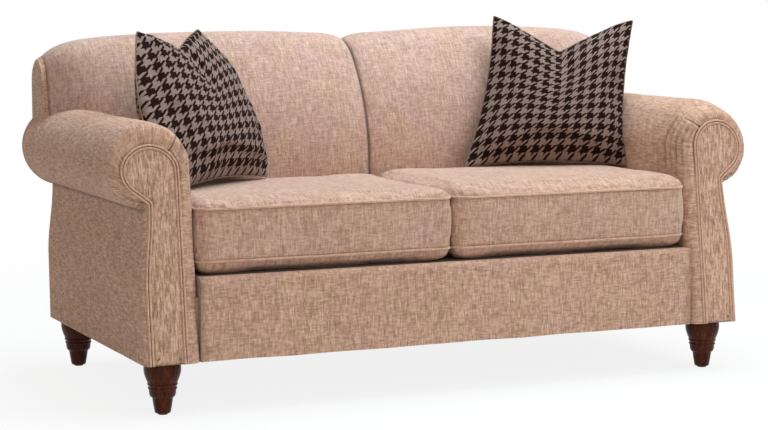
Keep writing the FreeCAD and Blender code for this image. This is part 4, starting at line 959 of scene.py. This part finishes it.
# %% Outside back
ROLL_END = UP_INSIDE + SCROLL_STEPS
half_line = [(0.782, FLOOR_LINE)] + arm_line[:ROLL_END:-1][12:]
half_line += [(x, z) for x, z in reversed(arm_line[UP_INSIDE:ROLL_END]) if x > 0.801 or z < 0.5][::4]
half_line += [(0.801, 0.641), (0.801, 0.735), (0.796, 0.746), (0.786, 0.750)]
rear_line = half_line + [(-x, z) for x, z in reversed(half_line)]
rear_rings = []
for behind, inset in ((-0.006, 0.0), (0.0, 0.0), (0.003, 0.001), (0.0042, 0.004)):
    rear_rings.append([Vector((x - math.copysign(inset, x), rear_y(z) + behind, z - (inset if z > 0.4 else 0)))
                       for x, z in rear_line])
outside_back = skin("outside_back_sheet", rear_rings, closed=True, caps=(True, True))
lay_cloth(outside_back, 1.7)
dress(outside_back, tweed, replaces=("outside_back",), angle=40)
print("outside back faces", len(outside_back.data.polygons))

# %% [markdown]
# ## Seat cushions
# A box cushion is a band of boxing between two panels, with a cord in each seam. The foam fills the box, and
# the cloth stands up between the seams as a crown. The plain box is remeshed into even squares, its seams
# are pinned, and air pressure in the cloth simulation swells the rest, as stuffing does. Both cushions are
# cut from one pattern, so one is made and mirrored; the left one is sat in a little lower.

# %% Cushion shape
CUSHION_X, CUSHION_Y = (0.0044, 0.6436), (-0.374, 0.1076)
WELT_LOW, WELT_HIGH, CUSHION_CORNER, CUSHION_CORD = 0.346, 0.466, 0.026, 0.0031


def corner_ring(inset, z, steps=6, corner=CUSHION_CORNER):
    """A rounded rectangle, drawn in all round by inset."""
    ring = []
    (x_low, x_high), (y_low, y_high) = CUSHION_X, CUSHION_Y
    left, right = x_low + inset + corner, x_high - inset - corner
    front, rear = y_low + inset + corner, y_high - inset - corner
    middles = [(right, front), (right, rear), (left, rear), (left, front)]
    for quarter, (x, y) in enumerate(middles):
        for n in range(steps + 1):
            turn = (quarter - 1 + n / steps) * math.pi / 2
            ring.append(Vector((x + corner * math.cos(turn), y + corner * math.sin(turn), z)))
    return ring


def cushion_blank():
    """The cushion before it swells: boxing, and low crowns above and below."""
    crown = ((0.0, 0.0), (0.006, 0.42), (0.015, 0.66), (0.035, 0.82), (0.07, 0.9), (0.14, 0.96), (0.3, 1.0))
    rings = [corner_ring(share * 0.48, WELT_LOW - rise * 0.030) for share, rise in reversed(crown)]
    rings += [corner_ring(-0.003 * math.sin(math.pi * n / 4), WELT_LOW + 0.12 * n / 4) for n in range(1, 4)]
    rings += [corner_ring(share * 0.48, WELT_HIGH + rise * 0.027) for share, rise in crown]
    return skin("cushion_right", rings, caps=(True, True))


def seam_distance(place):
    """How far a point of the cushion lies from its nearer seam."""
    (x_low, x_high), (y_low, y_high) = CUSHION_X, CUSHION_Y
    side = min(place.x - x_low, x_high - place.x, place.y - y_low, y_high - place.y)
    height = min(abs(place.z - WELT_LOW), abs(place.z - WELT_HIGH))
    return math.hypot(max(side, 0.0), height)


def swell(piece, pinned, pressure, spare, frames, reach):
    """Runs the cloth simulation on a piece, then holds how far any point may move."""
    before = [vertex.co.copy() for vertex in piece.data.vertices]
    group = piece.vertex_groups.new(name="seams")
    for vertex in piece.data.vertices:
        weight = pinned(vertex.co)
        if weight > 0:
            group.add([vertex.index], weight, "REPLACE")
    pick(piece)
    cloth = piece.modifiers.new("cloth", "CLOTH")
    values = cloth.settings
    values.quality, values.mass = 6, 0.3
    values.tension_stiffness = values.compression_stiffness = 18
    values.shear_stiffness, values.bending_stiffness = 8, 1.2
    values.use_pressure, values.uniform_pressure_force = True, pressure
    values.shrink_min = values.shrink_max = -spare
    values.effector_weights.gravity = 0
    values.vertex_group_mass = "seams"
    cloth.collision_settings.use_collision = False
    scene = bpy.context.scene
    for number in range(1, frames + 1):
        scene.frame_set(number)
    bpy.ops.object.modifier_apply(modifier="cloth")
    scene.frame_set(1)
    farthest = 0.0
    for vertex, start in zip(piece.data.vertices, before):
        move, limit = vertex.co - start, reach(start)
        farthest = max(farthest, move.length)
        if move.length > limit:
            vertex.co = start + move * (limit / move.length)
    piece.vertex_groups.clear()
    print(piece.name, "swelled by up to", round(farthest * 1000, 1), "mm")


cushion_right = cushion_blank()
reshape(cushion_right, "REMESH", mode="VOXEL", voxel_size=0.0062)
swell(cushion_right, lambda p: 1.0 if seam_distance(p) < 0.006 else 0.0, 4.0, 0.02, 16,
      lambda p: 0.002 if WELT_LOW < p.z < WELT_HIGH else 0.006)
reshape(cushion_right, "SUBSURF", levels=1, render_levels=1)
for vertex in cushion_right.data.vertices:
    vertex.co.z = max(vertex.co.z, DECK_LINE + 0.0003)


def gathers(place):
    """Short creases in the crown, where the panel is eased round the cushion's front corners."""
    if place.z < WELT_HIGH - 0.004:
        return 0.0
    corner_x = min(CUSHION_X, key=lambda x: abs(place.x - x))
    across, along = abs(place.x - corner_x), abs(place.y - CUSHION_Y[0])
    away, turn = math.hypot(across, along), math.atan2(along, across)
    wave = 0.5 + 0.5 * math.cos(turn * 26 + 3 * noise.noise(place * 20))
    return -0.0022 * smooth_step(away / 0.03) * fade_out(away / 0.13) * wave


raise_points(cushion_right, gathers)
ruffle(cushion_right, 0.0024, 0.13, 12.0, lambda p: smooth_step(seam_distance(p) / 0.05))
lay_cloth(cushion_right, 2.1, lambda face: "top" if not WELT_LOW < face.center.z < WELT_HIGH else
          "front" if abs(face.normal.y) > abs(face.normal.x) else "end")
# Painted shade along the corded seams.
shade_creases(cushion_right, lambda p: 0.6 * fade_out((seam_distance(p) - 0.002) / 0.004))
cushion_left = other_side(cushion_right, "cushion_left", 0.6)
raise_points(cushion_left, lambda p: -0.25 * max(p.z - WELT_HIGH, 0.0))


def cushion_cords(side, name):
    """The corded edges above and below the boxing, which waver a little."""
    lines = []
    for level in (WELT_LOW, WELT_HIGH):
        ring = corner_ring(-0.0012, level, steps=8, corner=0.031)
        shift = Vector((level * 50, side, 0))
        lines.append([(x * side, y, z + 0.0012 * noise.noise(Vector((x, y, z)) * 9 + shift))
                      for x, y, z in resample(ring + ring[:1], 260)[:-1]])
    joined = cord_set(f"cushion_cords_{name}", lines, CUSHION_CORD, closed=True)
    lay_cloth(joined, 2.9)
    return dress(joined, tweed_welt, f"seat_cushion_{name}",
                 replaces=(f"seat_cushion_welts_{name}",))


for side, name, piece in ((1, "right", cushion_right), (-1, "left", cushion_left)):
    dress(piece, tweed_seat, f"seat_cushion_{name}", replaces=(f"seat_cushion_cover_{name}",))
    cushion_cords(side, name)
print("cushion faces", len(cushion_right.data.polygons))

# %% [markdown]
# ## Pillows
# A scatter pillow is two squares of cloth sewn edge to edge and stuffed, thick in the middle and thin at the
# seam. A chop with the side of the hand sinks its top edge and leaves two ears. The pillow is a fine grid,
# front and back, whose cloth map stays close to the flat cloth, so the check bends with the stuffing.

# %% Pillow shape
PILLOW_GRID = 64
PILLOW_TALL, PILLOW_THICK, DRAW_IN = 0.418, 0.063, 0.016
SKEW, PIPING_CORD = 0.078, 0.0019
RIGHT_CUT = {"bottom": 0.217, "ears": 0.192, "taper": 1.0, "draw": 0.016, "dent": 0.092, "left_ear": 0.014}
LEFT_CUT = {"bottom": 0.208, "ears": 0.134, "taper": 2.0, "draw": -0.045, "dent": 0.064, "left_ear": 0.0}


def pillow_point(a, b, face, cut):
    """A point of the pillow for a and b from -1 to 1 across and up its cloth, on one face or the other."""
    up = (b + 1) / 2
    half = cut["bottom"] + (cut["ears"] - cut["bottom"]) * up ** cut["taper"]
    x = a * (half - cut["draw"] * (1 - b * b) * abs(a) ** 1.5)
    y = up * PILLOW_TALL + DRAW_IN * 0.9 * (1 - a * a) * (1 - up) ** 3
    y += cut["left_ear"] * max(-a, 0) ** 2 * up ** 2
    chop = cut["dent"] * (1 - abs(a)) ** 1.25 * smooth_step(up) ** 1.3
    y -= chop
    body = ((1 - abs(a) ** 3.2) * (1 - abs(b) ** 3.2)) ** 0.62
    body *= 1 - 0.32 * math.exp(-(a / 0.2) ** 2) * smooth_step((up - 0.45) / 0.55)
    return Vector((x + SKEW * y / PILLOW_TALL, y, face * PILLOW_THICK * body))


def pillow_blank(name, cut):
    """A grid for the front and one for the back, shaped, and sewn together at the edge."""
    halves = []
    for face in (1, -1):
        pick()
        bpy.ops.mesh.primitive_grid_add(x_subdivisions=PILLOW_GRID, y_subdivisions=PILLOW_GRID, size=2)
        sheet = bpy.context.object
        layer = cloth_map(sheet)
        for loop in sheet.data.loops:
            flat = sheet.data.vertices[loop.vertex_index].co
            shaped = pillow_point(flat.x, flat.y, face, cut)
            upright = shaped.x - SKEW * shaped.y / PILLOW_TALL
            layer.data[loop.index].uv = (0.112 * flat.x + 0.54 * upright + 0.6 * face, flat.y * 0.225)
        for old in [other for other in sheet.data.uv_layers if other.name != "cloth"]:
            sheet.data.uv_layers.remove(old)
        for vertex in sheet.data.vertices:
            vertex.co = pillow_point(vertex.co.x, vertex.co.y, face, cut)
        halves.append(sheet)
    pillow = join_pieces(name, *halves)
    edit_all()
    bpy.ops.mesh.remove_doubles(threshold=0.0004)
    close_edit()
    return pillow


pillow, pillow_left = pillow_blank("pillow_right", RIGHT_CUT), pillow_blank("pillow_left", LEFT_CUT)
for piece in (pillow, pillow_left):
    swell(piece, lambda p: 1.0 if abs(p.z) < 0.0012 else 0.0, 2.5, 0.02, 12, lambda p: 0.006)


def creases(piece, seed):
    """Soft folds that run from the corners and the chop towards the middle."""
    for vertex in piece.data.vertices:
        x, y, z = vertex.co
        fade = smooth_step(abs(z) / 0.02)
        wave = noise.noise(Vector((x * 16 + seed, y * 7, math.copysign(seed, z))))
        vertex.co += vertex.normal * (0.004 * fade * wave)


def settle(piece, foot, turn_run, lean_run):
    """Stands a pillow on its lower edge, leaning back and turned."""
    turn, lean = math.atan2(turn_run, 235), math.atan2(lean_run, 235)
    stand = Matrix.Translation(foot) @ Matrix.Rotation(turn, 4, "Z") @ Matrix.Rotation(math.pi / 2 - lean, 4, "X")
    piece.data.transform(stand)


creases(pillow, 1.7)
creases(pillow_left, 6.2)
for piece in (pillow, pillow_left):
    reshape(piece, "SUBSURF", levels=1, render_levels=1)


def pillow_edge(piece, name):
    """The narrow piping round a pillow, along the seam that its two sheets share."""
    layer = piece.data.uv_layers["cloth"]
    seams = {}
    for loop in piece.data.loops:
        seams.setdefault(loop.vertex_index, set()).add(layer.data[loop.index].uv.x > 0)
    shared = {index for index, sides in seams.items() if len(sides) == 2}
    joined = {index: [] for index in shared}
    for edge in piece.data.edges:
        a, b = edge.vertices
        if a in shared and b in shared:
            joined[a].append(b)
            joined[b].append(a)
    start = min(shared)
    line, before, here = [start], None, start
    while True:
        ahead = [other for other in joined[here] if other != before and (other not in line or other == start)]
        if not ahead or ahead[0] == start:
            break
        before, here = here, ahead[0]
        line.append(here)
    return cord_piece(name, [piece.data.vertices[index].co.copy() for index in line][::2], PIPING_CORD, closed=True)


edge_right, edge_left = pillow_edge(pillow, "pillow_edge_right"), pillow_edge(pillow_left, "pillow_edge_left")
for piece in (pillow, edge_right):
    settle(piece, (0.440, -0.019, 0.495), -76, 108)
for piece in (pillow_left, edge_left):
    settle(piece, (-0.484, -0.100, 0.494), 182, 132)
for name, piece, edge in (("right", pillow, edge_right), ("left", pillow_left, edge_left)):
    dress(piece, houndstooth, f"pillow_{name}",
          replaces=(f"pillow_cover_{name}", f"pillow_insert_{name}"))
    lay_cloth(edge)
    dress(edge, piping, f"pillow_{name}")
print("pillow faces", len(pillow.data.polygons))

# %% [markdown]
# ## Turned feet
# A foot is turned on a lathe, so it is one profile spun round the foot's middle: a cup under the frame, two
# thin rings, a step and a taper, with small fillets where the chisel changes direction.

# %% Feet
# radius and height of each point
FOOT_PROFILE = [
    (0.0, 0.0031), (0.0150, 0.0031), (0.0176, 0.0042), (0.0186, 0.0070), (0.0202, 0.016), (0.0217, 0.0245),
    (0.0230, 0.0335), (0.0237, 0.0382), (0.0244, 0.0396), (0.0270, 0.0410), (0.0291, 0.0438), (0.0303, 0.0480),
    (0.0309, 0.0530), (0.0312, 0.0572), (0.0318, 0.0590), (0.0330, 0.0598), (0.0334, 0.0611), (0.0329, 0.0624),
    (0.0318, 0.0632), (0.0318, 0.0655), (0.0330, 0.0678), (0.0344, 0.0688), (0.0349, 0.0701), (0.0344, 0.0714),
    (0.0333, 0.0722), (0.0345, 0.0750), (0.0372, 0.0815), (0.0398, 0.0885), (0.0418, 0.0955), (0.0428, 0.1030),
    (0.0428, 0.1090), (0.0420, 0.1150), (0.0405, 0.1205), (0.0382, 0.1240), (0.0350, 0.1262), (0.0, 0.1262)]


def turn_foot(name, x, y):
    """The profile drawn as a line and spun once round."""
    pick()
    bpy.ops.mesh.primitive_circle_add(vertices=len(FOOT_PROFILE), radius=0.1)
    foot = named(bpy.context.object, name)
    for vertex, (radius, height) in zip(foot.data.vertices, FOOT_PROFILE):
        vertex.co = (x + radius, y, height)
    bpy.ops.object.mode_set(mode="EDIT")
    bpy.context.tool_settings.mesh_select_mode = (False, True, False)
    bpy.ops.mesh.select_all(action="DESELECT")
    shape = bmesh.from_edit_mesh(foot.data)
    axis_edge = [edge for edge in shape.edges if all(abs(v.co.x - x) < 1e-6 for v in edge.verts)]
    bmesh.ops.delete(shape, geom=axis_edge, context="EDGES")
    bmesh.update_edit_mesh(foot.data)
    bpy.ops.mesh.select_all(action="SELECT")
    bpy.ops.mesh.spin(steps=48, angle=math.tau, center=(x, y, 0), axis=(0, 0, 1))
    bpy.ops.mesh.select_all(action="SELECT")
    bpy.ops.mesh.remove_doubles(threshold=0.00005)
    close_edit()
    foot.location = (0, 0, 0)
    return dress(foot, walnut, replaces=("turned_feet",), angle=35)


for side, x in (("left", -0.721), ("right", 0.721)):
    for end, y in (("front", -0.3395), ("rear", 0.3365)):
        foot = turn_foot(f"foot_{end}_{side}", x, y)
print("faces on a foot", len(foot.data.polygons))

# %% [markdown]
# ## Studio
# A pale floor and a white surround. What the camera sees of the surround is plain white, which costs the
# sofa no extra light. Two large soft lamps, one overhead and one to the right, give the light tops and the
# shaded left side of the photograph; a weak warm lamp in front and the surround fill the rest.

# %% Floor, lamps and surround
def seen_directly(tree):
    """1 where the camera sees a thing itself or through a reflection, 0 for the light that it gives."""
    rays = step(tree, "LightPath").outputs
    reflected = sums(tree, "MAXIMUM", rays["Is Glossy Ray"], rays["Is Transmission Ray"])
    return sums(tree, "MAXIMUM", rays["Is Camera Ray"], reflected)


pick()
bpy.ops.mesh.primitive_plane_add(size=60, location=(0, 0, 0))
floor = bpy.context.object
floor.name = "floor"
floor_finish, tree, shader = new_material("floor_white", Base_Color=(0.86, 0.86, 0.86, 1), Roughness=0.9)
seen = seen_directly(tree)
glow = step(tree, "Emission", (1, 1, 1, 1), 1.0)
away = step(tree, "VectorMath", step(tree, "TexCoord").outputs["Object"], operation="LENGTH").outputs["Value"]
share = stretched(tree, away, 1.0, 3.0, 0.86, 1.0)
both = step(tree, "MixShader", sums(tree, "MULTIPLY", seen, share), shader.outputs[0], glow.outputs[0])
tree.links.new(both.outputs[0], tree.nodes["Material Output"].inputs["Surface"])
floor.data.materials.append(floor_finish)

world = bpy.data.worlds.new("surround")
bpy.context.scene.world = world
world.use_nodes = True
tree = world.node_tree
back_glow = tree.nodes["Background"]
seen = seen_directly(tree)
tree.links.new(blended(tree, seen, (1.0, 0.88, 0.77, 1), (1, 1, 1, 1)), back_glow.inputs["Color"])
tree.links.new(stretched(tree, seen, 0, 1, 0.34, 1.0), back_glow.inputs["Strength"])


def lamp(name, place, aim, size, power, colour):
    """A square soft lamp that looks at a point."""
    pick()
    bpy.ops.object.light_add(type="AREA", location=place)
    made = bpy.context.object
    made.name = name
    made.data.shape, made.data.size, made.data.energy = "SQUARE", size, power
    made.data.color = colour
    made.rotation_euler = (Vector(aim) - Vector(place)).to_track_quat("-Z", "Y").to_euler()
    return made


lamp("key", (2.4, -1.7, 3.3), (0, 0, 0.4), 2.2, 66, (0.86, 0.95, 1.0))
lamp("top", (0.3, 0.1, 3.6), (0, 0, 0.5), 2.6, 124, (0.76, 0.91, 1.0))
lamp("front", (-0.5, -4.2, 1.8), (0, 0, 0.4), 2.6, 15, (1.0, 0.94, 0.88))
bpy.context.scene.view_settings.view_transform = "Standard"
